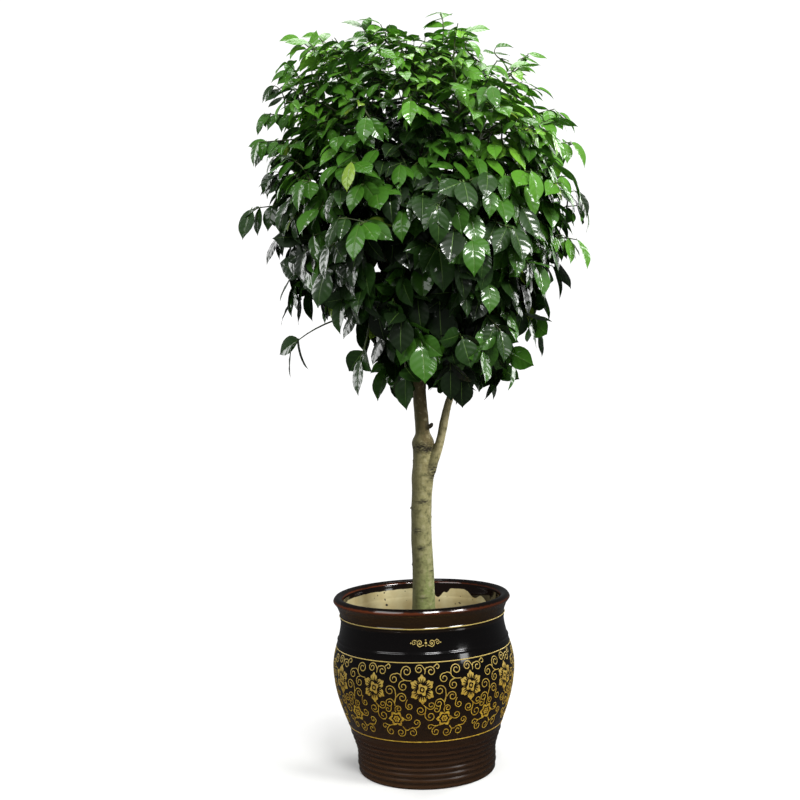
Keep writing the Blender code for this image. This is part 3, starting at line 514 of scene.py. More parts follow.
def coloured(tree, share, stops):
    """The colour at a share of a ramp, whose stops are a place and a hex colour each."""
    node = add_node(tree, "ShaderNodeValToRGB", None, {"Fac": share})
    ramp = node.color_ramp
    while len(ramp.elements) > 1:
        ramp.elements.remove(ramp.elements[-1])
    for index, (place, colour) in enumerate(stops):
        element = ramp.elements[0] if index == 0 else ramp.elements.new(place)
        element.position = place
        element.color = (*linear(colour), 1.0)
    return node.outputs["Color"]


def blended(tree, share, below, above):
    """A colour with a share of another over it, which is a hex colour or a socket."""
    if isinstance(above, str):
        above = (*linear(above), 1.0)
    return add_node(tree, "ShaderNodeMixRGB", None, {
        "Fac": share, "Color1": below, "Color2": above}).outputs["Color"]


def roughen(tree, shader, height, strength, distance, sockets=("Normal",), **settings):
    """Give a shader fine relief."""
    bump = add_node(tree, "ShaderNodeBump", settings, {
        "Strength": strength, "Distance": distance, "Height": height})
    for socket in sockets:
        tree.links.new(bump.outputs["Normal"], shader.inputs[socket])


def make_object(name, vertices, faces, materials=(), smooth=True, recalculate=True, edges=()):
    """One mesh object at the origin, with its faces turned outward."""
    mesh = bpy.data.meshes.new(name)
    mesh.from_pydata([tuple(v) for v in vertices], edges, faces)
    if recalculate:
        shape = bmesh.new()
        shape.from_mesh(mesh)
        bmesh.ops.recalc_face_normals(shape, faces=shape.faces)
        shape.to_mesh(mesh)
        shape.free()
    for material in materials:
        mesh.materials.append(material)
    mesh.polygons.foreach_set("use_smooth", [smooth] * len(mesh.polygons))
    item = bpy.data.objects.new(name, mesh)
    bpy.context.scene.collection.objects.link(item)
    return item


def plain_result(item):
    """Keep an object's evaluated shape as its own plain mesh, and drop its modifiers."""
    bpy.context.view_layer.update()
    graph = bpy.context.evaluated_depsgraph_get()
    mesh = bpy.data.meshes.new_from_object(item.evaluated_get(graph))
    item.modifiers.clear()
    item.data = mesh


def node_modifier(item, tree, values):
    """Put a geometry node tree on an object, with its named inputs' values."""
    modifier = item.modifiers.new(tree.name, "NODES")
    sockets = {socket.name: socket.identifier for socket in tree.interface.items_tree
               if socket.in_out == "INPUT"}
    modifier.node_group = tree
    for name, value in values.items():
        modifier[sockets[name]] = value
    return modifier


def new_tree(name, inputs):
    """A geometry node tree with its named inputs. Returns the tree, its inputs and output."""
    tree = bpy.data.node_groups.new(name, "GeometryNodeTree")
    tree.interface.new_socket("Geometry", in_out="INPUT", socket_type="NodeSocketGeometry")
    for label, kind in inputs:
        tree.interface.new_socket(label, in_out="INPUT", socket_type="NodeSocket" + kind)
    tree.interface.new_socket("Geometry", in_out="OUTPUT", socket_type="NodeSocketGeometry")
    return tree, add_node(tree, "NodeGroupInput").outputs, add_node(tree, "NodeGroupOutput")


def spared_pieces(item=None):
    """The group of pieces that the side lights leave out, with one more piece in it."""
    group = bpy.data.collections.get("spared_by_side_lights")
    if not group:
        group = bpy.data.collections.new("spared_by_side_lights")
    if item:
        group.objects.link(item)
        group.collection_objects[-1].light_linking.link_state = "EXCLUDE"
    return group


def hide_template(item):
    """A shape that is only there to be repeated leaves the scene once it has been."""
    mesh = item.data
    bpy.data.objects.remove(item, do_unlink=True)
    bpy.data.meshes.remove(mesh)


def hide_templates(group):
    """Shapes that are only there to be repeated leave the scene with their group."""
    for item in list(group.objects):
        hide_template(item)
    bpy.data.collections.remove(group)


def smooth_path(points, steps):
    """Points along a smooth curve through the given ones, with the same number in each span."""
    spans = len(points) - 1
    ends = [2 * points[0] - points[1]] + list(points) + [2 * points[-1] - points[-2]]
    path = []
    for span in range(spans):
        before, start, stop, after = ends[span:span + 4]
        for step in range(steps):
            t = step / steps
            path.append(0.5 * (2 * start + (stop - before) * t
                               + (2 * before - 5 * start + 4 * stop - after) * t * t
                               + (3 * start - before - 3 * stop + after) * t ** 3))
    path.append(points[-1].copy())
    return path


def frames_along(path):
    """Tangent, side and over vectors at each point, carried along without twisting."""
    tangents = []
    for index in range(len(path)):
        low = max(index - 1, 0)
        high = min(index + 1, len(path) - 1)
        tangents.append((path[high] - path[low]).normalized())
    side = tangents[0].cross(Vector((0.0, 0.0, 1.0)))
    if side.length < 0.05:
        side = tangents[0].cross(Vector((0.0, 1.0, 0.0)))
    side.normalize()
    frames = []
    for tangent in tangents:
        side = (side - tangent * side.dot(tangent)).normalized()
        frames.append((tangent, side, side.cross(tangent).normalized()))
    return frames


def add_layer(mesh, name, kind, values, domain="POINT"):
    """Keep a value for every point or face of a mesh, under a name."""
    layer = mesh.attributes.new(name, kind, domain)
    if kind == "FLOAT_VECTOR":
        layer.data.foreach_set("vector", [part for vector in values for part in vector])
    else:
        layer.data.foreach_set("value", values)


def joined(shapes):
    """The vertices and the faces of several shapes, as those of one."""
    vertices = []
    faces = []
    for points, sheets in shapes:
        shift = len(vertices)
        vertices.extend(points)
        faces.extend(tuple(index + shift for index in face) for face in sheets)
    return vertices, faces


def around(count):
    """The cosine and sine of even steps round a full turn."""
    angles = [2 * math.pi * step / count for step in range(count)]
    return [(math.cos(angle), math.sin(angle)) for angle in angles]


def tapered(first, last, count):
    """Evenly changing widths, from the first to the last."""
    return [first + (last - first) * (index / (count - 1)) for index in range(count)]


def bowed_path(start, bend, end, steps):
    """Points along a simple bow from the start toward the bend and round to the end."""
    path = []
    for step in range(steps + 1):
        t = step / steps
        path.append(start * (1 - t) ** 2 + bend * 2 * t * (1 - t) + end * t * t)
    return path


def ring_faces(rings, width, closed=False):
    """The faces from ring to ring of vertices, with flat ends unless the rings close up."""
    faces = []
    for ring in range(rings if closed else rings - 1):
        low = ring * width
        high = (ring + 1) % rings * width
        for step in range(width):
            after = (step + 1) % width
            faces.append((low + step, low + after, high + after, high + step))
    if not closed:
        faces.append(tuple(range(width - 1, -1, -1)))
        faces.append(tuple(range((rings - 1) * width, rings * width)))
    return faces


def tube(path, radii, sides):
    """Rings of vertices round a path, with flat ends."""
    vertices = []
    for (tangent, side, over), centre, radius in zip(frames_along(path), path, radii):
        vertices += [centre + (side * right + over * up) * radius for right, up in around(sides)]
    return vertices, ring_faces(len(path), sides)


def lathe(profile, segments):
    """A closed turned shape. The profile starts and ends on the axis, where it has poles."""
    vertices = [(0.0, 0.0, profile[0][1])]
    rows = profile[1:-1]
    for radius, height in rows:
        vertices += [(radius * right, radius * back, height) for right, back in around(segments)]
    vertices.append((0.0, 0.0, profile[-1][1]))
    top = len(vertices) - 1
    faces = []
    for step in range(segments):
        after = (step + 1) % segments
        faces.append((0, 1 + after, 1 + step))
        for row in range(len(rows) - 1):
            low = 1 + row * segments
            high = low + segments
            faces.append((low + step, low + after, high + after, high + step))
        last = 1 + (len(rows) - 1) * segments
        faces.append((top, last + step, last + after))
    return vertices, faces


def eased(value, low, high):
    """0 below low, 1 above high and a smooth step between them."""
    part = min(max((value - low) / (high - low), 0.0), 1.0)
    return part * part * (3 - 2 * part)


def ripple(point, height, across, along):
    """An uneven pattern over the bark, with its own scale across and along the wood."""
    return noise.noise(Vector((point.x * across, point.y * across, height * along)))


# The pot's shape.
def pot_outer_radius(height):
    """The pot's outside without its ridges: foot, belly, neck and flared collar."""
    if height <= POT_FOOT_HEIGHT:
        return POT_FOOT_RADIUS
    if height <= POT_BELLY_HEIGHT:
        part = (height - POT_FOOT_HEIGHT) / (POT_BELLY_HEIGHT - POT_FOOT_HEIGHT)
        swell = math.sin(0.5 * math.pi * part) ** BELLY_POWER
        return POT_FOOT_RADIUS + (POT_BELLY_RADIUS - POT_FOOT_RADIUS) * swell
    if height <= POT_NECK_HEIGHT:
        part = (height - POT_BELLY_HEIGHT) / (POT_NECK_HEIGHT - POT_BELLY_HEIGHT)
        fall = 0.5 + 0.5 * math.cos(math.pi * part)
        return POT_NECK_RADIUS + (POT_BELLY_RADIUS - POT_NECK_RADIUS) * fall
    part = (height - POT_NECK_HEIGHT) / (POT_LIP_HEIGHT - POT_NECK_HEIGHT)
    return POT_NECK_RADIUS + (POT_LIP_RADIUS - POT_NECK_RADIUS) * min(part, 1.0) ** 2


def pot_inner_radius(height):
    """The pot's inside, one wall thickness in from its side."""
    return min(pot_outer_radius(height), POT_BELLY_RADIUS) - POT_WALL


def pot_side(height):
    """The pot's outside with its thrown ribs round the foot and its beads round the neck."""
    radius = pot_outer_radius(height)
    for bead_height, reach, depth in BEADS:
        away = abs(height - bead_height)
        if away < reach:
            radius += depth * (0.5 + 0.5 * math.cos(math.pi * away / reach))
    low = RIB_FIRST_HEIGHT - 0.5 * RIB_PITCH
    high = RIB_FIRST_HEIGHT + (RIB_COUNT - 0.5) * RIB_PITCH
    if low < height < high:
        turn = 2 * math.pi * (height - RIB_FIRST_HEIGHT) / RIB_PITCH
        radius += 1.55 * RIB_DEPTH * (0.5 + 0.5 * math.cos(turn))
    return radius


def on_pot(angle, height, out):
    """A point on the pot's outside: the angle from the front, the height, and how far out."""
    step = 0.0005
    slope = (pot_side(height + step) - pot_side(height - step)) / (2 * step)
    size = math.hypot(1.0, slope)
    radius = pot_side(height) + out / size
    return Vector((radius * math.sin(angle), -radius * math.cos(angle),
                   height - out * slope / size))


def pot_profile():
    """The fine section of the pot, from the middle of its underside, up and down inside."""
    profile = list(FOOT_SECTION)
    height = SIDE_LOW
    while height < SIDE_TOP:
        profile.append((pot_side(height), height))
        plain = any(low < height < high for low, high in PLAIN_STRETCHES)
        height += COARSE_STEP if plain else FINE_STEP
    lip = [(pot_side(LIP_LOW), LIP_LOW), *LIP_SECTION]
    profile += [tuple(point) for point in smooth_path([Vector(point) for point in lip], 3)]
    for height in LEDGE_HEIGHTS:
        ledge = LEDGE_DEPTH * eased(height, 0.3290, 0.3320)
        profile.append((pot_inner_radius(POT_NECK_HEIGHT) + ledge, height))
    for step in range(1, 8):
        height = POT_NECK_HEIGHT + (POT_BELLY_HEIGHT - POT_NECK_HEIGHT) * step / 7
        profile.append((pot_inner_radius(height), height))
    profile += [(pot_inner_radius(0.12), 0.12), (pot_inner_radius(POT_FLOOR), POT_FLOOR),
                (0.07, POT_FLOOR), (0.0, POT_FLOOR)]
    return profile


# The gilt decoration's shapes.
def raised_shape(rows, closed, base_angle=0.0, low=BAND_LOW):
    """A thin closed shape that stands on the pot's side. Each row has points (right, up, out)
    across it in millimetres on the unrolled band, and its edges run into the glaze."""
    vertices = []
    for row in rows:
        line = [(*row[0][:2], GILT_SUNK), *row, (*row[-1][:2], GILT_SUNK)]
        for right, up, out in line:
            angle = base_angle + right / (1000 * POT_BELLY_RADIUS)
            vertices.append(on_pot(angle, low + up / 1000, out / 1000))
    return vertices, ring_faces(len(rows), len(rows[0]) + 2, closed)


def ribbon(points, width):
    """The rows of a brushed line: rounded over its width, and narrow at its far end."""
    rows = []
    count = len(points)
    for index, point in enumerate(points):
        low = max(index - 1, 0)
        high = min(index + 1, count - 1)
        along = (points[high] - points[low]).normalized()
        across = Vector((-along.y, along.x))
        half = 0.5 * width * (0.55 + 0.45 * eased(count - 1 - index, 0.0, 2.5))
        left = point + across * half
        right = point - across * half
        rows.append([(*left, STROKE_EDGE), (*point, STROKE_CREST), (*right, STROKE_EDGE)])
    return rows


def stroke_points(vine, centre, radius, start, turns):
    """The middle line of one stroke: its vine, then its curl winding inward."""
    points = [Vector(point) for point in vine]
    radius *= CURL_GROWTH
    steps = max(int(abs(turns) * 17), 8)
    for step in range(steps + 1):
        part = step / steps
        angle = math.radians(start + 360.0 * turns * part)
        reach = radius * (1 - 0.74 * part ** 0.85)
        points.append(Vector((centre[0] + reach * math.cos(angle),
                              centre[1] + reach * math.sin(angle))))
    return smooth_path(points[:len(vine) + 2], 3)[:-1] + points[len(vine) + 1:]


def polar_rows(centre, wide, tall, inner, outer, count, out):
    """Rows round a centre, between an inner and an outer radius that vary with the angle."""
    rows = []
    for step in range(count):
        angle = 2 * math.pi * step / count
        rows.append([(centre[0] + wide * reach * math.cos(angle),
                      centre[1] + tall * reach * math.sin(angle), out)
                     for reach in (inner(angle), outer(angle))])
    return rows


def petal_edge(angle, turn, low, rise, point, lobes=0.0):
    """The outer radius of a flower of six round petals that end in a point and three lobes."""
    place = ((angle - turn) / (math.pi / 3) + 0.5) % 1.0
    away = abs(2 * place - 1)
    lobe = -math.cos(6 * math.pi * place) * (1 - away ** 4)
    return low + rise * (1 - away ** 2.4) ** 0.8 + point * (1 - away) ** 3 + lobes * lobe


def petal_teeth(angle, turn, low, depth, teeth, outer):
    """The inner edge of the petals, cut into teeth by the dark strokes from the centre, and
    drawn out to the outer edge where two petals meet."""
    place = ((angle - turn) / (math.pi / 3) + 0.5) % 1.0
    wave = place * teeth % 1.0
    away = abs(2 * place - 1)
    inner = low + depth * (1 - abs(2 * wave - 1)) * (1 - away ** 2 * 0.5)
    return inner + (outer - 0.03 - inner) * eased(away, 0.66, 0.93)


def flower_shapes():
    """The large flower and the small one, each as separate thin plates of gilt."""
    edge = lambda a: petal_edge(a, math.pi / 2, 0.54, 0.37, 0.09, 0.040)
    plates = (
        (LARGE_FLOWER, 180, lambda a: petal_teeth(a, math.pi / 2, 0.47, 0.36, 4, edge(a)), edge),
        (LARGE_FLOWER, 40, lambda a: 0.205 + 0.02 * math.cos(4 * a - 1.9),
         lambda a: 0.365 + 0.085 * math.cos(4 * a - 1.9)),
        (LARGE_FLOWER, 10, lambda a: 0.012, lambda a: 0.10),
        (SMALL_FLOWER, 72, lambda a: petal_edge(a, 0.0, 0.50, 0.12, 0.06),
         lambda a: petal_edge(a, 0.0, 0.66, 0.20, 0.16)),
        (SMALL_FLOWER, 36, lambda a: 0.20 + 0.03 * math.cos(6 * a),
         lambda a: 0.37 + 0.06 * math.cos(6 * a)),
        (SMALL_FLOWER, 10, lambda a: 0.015, lambda a: 0.10))
    return [polar_rows((right, up), wide, tall, inner, outer, count, PETAL_OUT)
            for (right, up, wide, tall), count, inner, outer in plates]


def ornament_shapes():
    """A little ornament for the front of the neck: a bead between mirrored curls and dots."""
    shapes = []
    height = ORNAMENT_HEIGHT

    def add_dot(right, up, size, count):
        """A small flat round dot."""
        rows = polar_rows((right, up), size, size, lambda a: 0.1, lambda a: 1.0, count,
                          DOT_OUT)
        shapes.append((rows, True))

    for hand in (-1, 1):
        curl = stroke_points(((hand * 4.0, height - 4.0), (hand * 8.0, height - 5.2)),
                             (hand * 13.0, height), 6.6, 270, hand * 1.3)
        shapes.append((ribbon(curl, 1.5), False))
        tail = stroke_points(((hand * 19.0, height + 3.0), (hand * 21.5, height + 4.6)),
                             (hand * 25.5, height + 0.6), 4.6, 90, hand * -1.1)
        shapes.append((ribbon(tail, 1.3), False))
        for place, size in ((32.4, 1.5), (13.0, 1.2)):
            add_dot(hand * place, height, size, 10)
    for up, size in ((height, 2.6), (height + 5.6, 1.3), (height - 5.6, 1.3)):
        add_dot(0.0, up, size, 12)
    return shapes


def band_line(height, width):
    """A gilt line all the way round the pot, as rows of a ribbon."""
    rows = []
    full_turn = 2000 * math.pi * POT_BELLY_RADIUS
    up = (height - BAND_LOW) * 1000
    for step in range(LINE_SEGMENTS):
        right = full_turn * step / LINE_SEGMENTS
        rows.append([(right, up - 0.5 * width, LINE_EDGE), (right, up, LINE_CREST),
                     (right, up + 0.5 * width, LINE_EDGE)])
    return rows


# The limbs, by the rule of the part's source.
def trunk_centre(height):
    """The trunk leans a little to the right up to its fork, and the leader goes straight up."""
    lean = TRUNK_LEAN * min((height - SOIL_HEIGHT) / (FORK_TOP_HEIGHT - SOIL_HEIGHT), 1.0)
    drift = LEADER_DRIFT * eased(height, 0.85, 1.25)
    (reach, turns), (deep, deep_turns) = TRUNK_WAVES
    wave = reach * math.sin(height * turns)
    depth = deep * math.sin((height - SOIL_HEIGHT) * deep_turns)
    return Vector((lean + drift + wave, depth, height))


def trunk_radius(height):
    """Root flare, a near-even trunk, a swollen ring over the fork, and the tapering leader."""
    flare = (TRUNK_FLARE_RADIUS - TRUNK_RADIUS) * math.exp(
        -(height - SOIL_HEIGHT) / FLARE_REACH)
    base = TRUNK_RADIUS + flare - TRUNK_THINNING * eased(height, 0.35, 0.60)
    collar = COLLAR_DEPTH * math.exp(-((height - COLLAR_HEIGHT) / COLLAR_REACH) ** 2)
    swelling = (SWELLING_RADIUS - TRUNK_RADIUS + SWELLING_SPARE) * math.exp(
        -((height - SWELLING_HEIGHT) / SWELLING_REACH) ** 2)
    part = max(height - LEADER_START_HEIGHT, 0.0) / (TRUNK_TIP_HEIGHT - LEADER_START_HEIGHT)
    leader = LEADER_RADIUS + (LEADER_TIP_RADIUS - LEADER_RADIUS) * part
    share = eased(height, 0.693, 0.712)
    return (base + collar + swelling) * (1 - share) + leader * share


def trunk_path():
    """Centres and radii of the trunk's rings, closer together where its width changes."""
    heights = [SOIL_HEIGHT + GAP, *TRUNK_RINGS]
    last = heights[-1]
    for step in range(1, LEADER_SPANS + 1):
        heights.append(last + (TRUNK_TIP_HEIGHT - last) * step / LEADER_SPANS)
    return [trunk_centre(h) for h in heights], [trunk_radius(h) for h in heights]


def right_stem_path(steps=2):
    """The slimmer second stem, from inside the trunk below the fork out to the right."""
    start = trunk_centre(0.585) + Vector((0.002, -0.002, 0.0))
    path = smooth_path([start] + [Vector(point) for point in RIGHT_STEM_POINTS], steps)
    return path, tapered(RIGHT_STEM_RADIUS, RIGHT_STEM_TIP_RADIUS, len(path))


def bough_plan():
    """For each mass: its name, its middle, the limb that carries it and where it leaves it."""
    plan = []
    for ring, count, distance, rise, turn in RINGS:
        for index in range(count):
            name = ring if count == 1 else ring + "_" + str(index + 1)
            angle = math.radians(turn + 360.0 * index / count)
            middle = CROWN_MIDDLE + Vector((distance * math.cos(angle),
                                            distance * math.sin(angle), rise))
            angle = math.degrees(math.atan2(middle.y, middle.x - CROWN_MIDDLE.x))
            if ring == "top":
                plan.append((name, middle, "trunk_tip", 1.0))
            elif ring == "middle" and abs(angle) < 20.0:
                plan.append((name, middle, "right_stem_tip", 1.0))
            elif ring == "lower" and abs(angle) < 60.0:
                plan.append((name, middle, "right_stem", LOW_BOUGH_PLACE))
            else:
                height = LOWEST_BOUGHS[ring] + BOUGH_STEP * ((index * 2) % 5)
                plan.append((name, middle, "trunk", height))
    return plan


def bough_path(start, tip, parent_direction, steps=3):
    """A bough leaves its parent at a slant and bends out toward its mass."""
    across = tip - start
    out = Vector((across.x, across.y, 0.0)).normalized()
    first = start + (parent_direction * 0.55 + out * 0.75) * across.length * 0.38
    return bowed_path(start, first, tip, steps)


def point_at(path, share):
    """The point a share of the way along a path, and the direction there."""
    lengths = [(path[i + 1] - path[i]).length for i in range(len(path) - 1)]
    goal = share * sum(lengths)
    for index, length in enumerate(lengths):
        if goal <= length or index == len(lengths) - 1:
            part = min(goal / length, 1.0)
            point = path[index].lerp(path[index + 1], part)
            return point, (path[index + 1] - path[index]).normalized()
        goal -= length


def clear_of_limbs(path, radii, limbs, parent):
    """True where a new bough stays off every limb that is there, but for its own parent."""
    steps = 24
    for limb, (line, widths) in limbs.items():
        beyond = 0.25 if limb == parent else 0.0
        for step in range(steps + 1):
            share = beyond + (1 - beyond) * step / steps
            point = point_at(path, share)[0]
            width = radii[0] + (radii[-1] - radii[0]) * share
            for low in range(len(line) - 1):
                across = line[low + 1] - line[low]
                part = (point - line[low]).dot(across) / across.length_squared
                spot = line[low] + across * min(max(part, 0.0), 1.0)
                if (spot - point).length < width + widths[low] + BOUGH_SPARE:
                    return False
    return True


def end_of(path):
    """A path's last point, and its direction there."""
    return path[-1], (path[-1] - path[-2]).normalized()


def limb_lines():
    """Every limb's fine path and radii, and for each mass the end that feeds it."""
    limbs = {"trunk": trunk_path(), "right_stem": right_stem_path()}
    heights = [SOIL_HEIGHT - 0.020 + 0.006 * step for step in range(180)]
    heights = [height for height in heights if height < TRUNK_TIP_HEIGHT] + [TRUNK_TIP_HEIGHT]
    fine = {"trunk": ([trunk_centre(h) for h in heights],
                      [trunk_radius(max(h, SOIL_HEIGHT)) for h in heights]),
            "right_stem": right_stem_path(12)}
    feeds = {}
    for name, middle, parent, place in bough_plan():
        hub = CROWN_MIDDLE + (middle - CROWN_MIDDLE) * HUB_OUT
        hub.z = CROWN_MIDDLE.z + (middle.z - CROWN_MIDDLE.z) * HUB_UP - HUB_DROP
        if parent.endswith("_tip"):
            feeds[name] = end_of(limbs[parent[:-4]][0])
            continue
        for attempt in range(BOUGH_ATTEMPTS):
            shift = BOUGH_SHIFT * ((attempt + 1) // 2) * (1 if attempt % 2 else -1)
            if parent == "trunk":
                start = trunk_centre(place + shift)
                along = Vector((0.0, 0.0, 1.0))
                base_radius = trunk_radius(place + shift) * BOUGH_SHARE
            else:
                start, along = point_at(limbs["right_stem"][0], place + shift)
                base_radius = LOW_BOUGH_RADIUS
            path = bough_path(start, hub, along)
            radii = tapered(base_radius, STEM_RADIUS, len(path))
            if clear_of_limbs(path, radii, limbs, parent):
                break
        limbs["bough_" + name] = (path, radii)
        line = bough_path(start, hub, along, 16)
        widths = [width * (1.0 + BOUGH_COLLAR * math.exp(-(index / 2.2) ** 2))
                  for index, width in enumerate(tapered(base_radius, STEM_RADIUS, 17))]
        fine["bough_" + name] = (line, widths)
        feeds[name] = end_of(path)
    return fine, feeds


# The foliage, by the rule of the part's source, carried on to finer twigs.
def crown_surface(direction):
    """The point of the crown's round outline in a direction from its middle."""
    flat = math.hypot(direction.x, direction.y) / CROWN_RADIUS
    tall = abs(direction.z) / (CROWN_RISE if direction.z >= 0 else CROWN_DROP)
    reach = (flat ** CROWN_POWER + tall ** CROWN_POWER) ** (-1.0 / CROWN_POWER)
    return CROWN_MIDDLE + direction * reach


def crown_outward(point):
    """The direction straight out of the crown's outline near a point."""
    offset = point - CROWN_MIDDLE
    flat = math.hypot(offset.x, offset.y)
    tall = CROWN_RISE if offset.z >= 0 else CROWN_DROP
    slope = CROWN_POWER - 1.0
    out = Vector((offset.x, offset.y, 0.0))
    if flat > 1e-6:
        out = out / flat
    out = out * (flat / CROWN_RADIUS) ** slope / CROWN_RADIUS
    rise = (abs(offset.z) / tall) ** slope / tall
    out.z = rise if offset.z >= 0 else -rise
    return out.normalized()


def surface_samples(count):
    """Points spread evenly over the crown's outline."""
    golden = math.pi * (3 - math.sqrt(5))
    points = []
    for index in range(count):
        height = 1 - 2 * (index + 0.5) / count
        wide = math.sqrt(1 - height * height)
        angle = index * golden
        tall = CROWN_RISE if height >= 0 else CROWN_DROP
        direction = Vector((CROWN_RADIUS * wide * math.cos(angle),
                            CROWN_RADIUS * wide * math.sin(angle), tall * height)).normalized()
        points.append(crown_surface(direction))
    return points


def nearest_mass(middles, point):
    """The name of the mass whose middle is nearest to a point."""
    return min(middles, key=lambda name: (middles[name] - point).length)


def owned_samples(samples, middles):
    """The samples of the crown's outline that each mass owns."""
    owned = {name: [] for name in middles}
    for point in samples:
        owned[nearest_mass(middles, CROWN_MIDDLE.lerp(point, OWNED_DEPTH))].append(point)
    return owned


def space_walls(name, middles):
    """The flat walls half way to every other mass, each as its direction and a point on it."""
    own = middles[name]
    walls = []
    for other, centre in middles.items():
        if other != name:
            across = (centre - own).normalized()
            walls.append((across, (own + centre) * 0.5 - across * CELL_MARGIN))
    return walls


def inside_walls(points, walls, reach):
    """The points that are at least a reach inside every wall."""
    return [point for point in points
            if min((wall - point).dot(across) for across, wall in walls) > reach]


def level_direction(out, least, dice):
    """The level part of a direction, or any level direction where that is too short."""
    level = Vector((out.x, out.y, 0.0))
    if level.length < least:
        angle = dice.random() * 2 * math.pi
        level = Vector((math.cos(angle), math.sin(angle), 0.0))
    level.normalize()
    return level


def hang_direction(out, lean, dice):
    """Leaves point outward and down; on top of the crown they spread outward and droop."""
    level = level_direction(out, 0.25, dice)
    down = Vector((0.0, 0.0, -1.0))
    share = eased(out.z, 0.25, 0.85)
    fall = down * (1 - share) + (level * 0.95 - Vector((0.0, 0.0, 0.15))) * share
    return (out * lean + fall * 0.80).normalized()


def hollow_depth(spot, middle, radius):
    """How far a spot is inside a hollow, from 0 to 1."""
    return math.exp(-((spot - middle).length / radius) ** 4)


def fitted_place(spot, depth):
    """A fine spray's place: a spot of the crown's round outline, brought to the outline that
    the plant has at that height, less far out in the hollows."""
    for middle, radius, keep in HOLLOWS:
        depth *= 1 - (1 - keep) * hollow_depth(spot, middle, radius)
    place = CROWN_MIDDLE + (spot - CROWN_MIDDLE) * depth
    height = min(max(spot.z, OUTLINE[0][0]), OUTLINE[-1][0] - 1e-6)
    tall = CROWN_RISE if height >= CROWN_MIDDLE.z else CROWN_DROP
    part = min(abs(height - CROWN_MIDDLE.z) / tall, 1.0)
    round_reach = CROWN_RADIUS * max(1 - part ** CROWN_POWER, 0.02) ** (1 / CROWN_POWER)
    for (low, left, right), (high, next_left, next_right) in zip(OUTLINE, OUTLINE[1:]):
        if low <= height < high:
            part = (height - low) / (high - low)
            left += (next_left - left) * part
            right += (next_right - right) * part
            break
    scale = min((right - left) * 0.5 / round_reach, 1.15)
    place.x = (left + right) * 0.5 + (place.x - CROWN_MIDDLE.x) * scale
    place.y *= 0.5 + 0.5 * scale
    return place


def spread_spots(candidates, taken, count):
    """The emptiest places first: each next spot is the farthest from those taken."""
    distance = [min((point - spot).length for spot in taken) for point in candidates]
    picked = []
    while len(picked) < count and candidates:
        best = max(range(len(candidates)), key=distance.__getitem__)
        spot = candidates[best]
        picked.append(spot)
        for index, point in enumerate(candidates):
            away = (point - spot).length
            if away < distance[index]:
                distance[index] = away
        if max(distance) <= 0.0:
            break
    return picked


def main_sprays(middles):
    """For each mass, its main sprays: where the source's last leaf is, and how it hangs."""
    dice = random.Random(SEED)
    samples = surface_samples(SURFACE_SAMPLES)
    chosen = {name: [] for name in middles}
    for label, *place in OUTLYING_TIPS:
        tip = Vector(place)
        hang = hang_direction(crown_outward(tip), MAIN_LEAN, random.Random(SEED))
        point = tip - hang * LEAF_FORWARD * SOLID_LEAF_LENGTH
        chosen[nearest_mass(middles, point)].append((point, hang))
    for name, points in owned_samples(samples, middles).items():
        inside = inside_walls(points, space_walls(name, middles), WALL_REACH)
        count = max(round(SPRAY_COUNT * len(points) / len(samples)), 3)
        while len(chosen[name]) < count and inside:
            taken = [spot for spot, hang in chosen[name]] or [CROWN_MIDDLE]
            best = max(inside, key=lambda p: min((p - spot).length for spot in taken))
            inside.remove(best)
            reach = MAIN_DEPTH + MAIN_DEPTH_SPREAD * dice.random()
            chosen[name].append((CROWN_MIDDLE + (best - CROWN_MIDDLE) * reach, None))
    return chosen


def over_dome(point):
    """How far a point is above the crown's dome, which slopes away from a flat top and is a
    little lower toward the front."""
    across = math.hypot(point.x - CROWN_MIDDLE.x, point.y)
    return (point.z - DOME_TOP + DOME_SLOPE * max(across - DOME_FLAT, 0.0)
            + DOME_FRONT_SLOPE * max(-point.y, 0.0))


def hides_trunk(point):
    """Whether a point is in front of the trunk's last bare stretch below the crown."""
    left, right = BARE_TRUNK_SIDES
    return point.z < BARE_TRUNK_TOP and point.y < 0.0 and left < point.x < right


class Growth:
    """The leaves and twigs of one ring of foliage, as they are grown."""

    def __init__(self, settings):
        self.settings = settings
        self.outlying = False
        self.leaves = []
        self.lines = []

    def add_leaf(self, root, heading, upper, size, shade, dice):
        """One leaflet, unless its tip would leave the reach of the solids."""
        heading = heading.normalized()
        upper = upper - heading * upper.dot(heading)
        if upper.length < 0.05:
            upper = heading.orthogonal()
        tip = root + heading * size * self.settings.leaf_length
        if not self.outlying and max(over_dome(root), over_dome(tip)) > 0.0:
            return
        low, high = CAD_BOX
        spare = OUTLYING_SPARE if self.outlying else PLAIN_SPARE
        for axis in range(3):
            if not low[axis] - spare < tip[axis] < high[axis] + spare:
                return
        broad = height_share(root) + dice.uniform(-0.2, 0.2) < BROAD_LEAVES_BELOW
        variant = dice.randrange(3) + (3 if broad else 0)
        self.leaves.append((root, heading, upper.normalized(), size, shade, variant))

    def add_spray(self, joint, end, out, direction, steps, widths, shade, size, pairs, dice):
        """One twig from a joint to its end, with its leaves. Returns the twig's path."""
        path = bent_path(joint, end, out, direction, steps)
        self.lines.append((path, tapered(*widths, steps + 1)))
        leaf_pairs(self, path, direction, out, shade, size, pairs, dice)
        return path


def height_share(point):
    """How high a point is in the crown, from 0 to 1."""
    return (point.z - CROWN_MIDDLE.z + CROWN_DROP) / (CROWN_RISE + CROWN_DROP)


def wandering(dice, tall=1.0):
    """A small random push."""
    return Vector((dice.uniform(-1, 1), dice.uniform(-1, 1), dice.uniform(-tall, tall)))


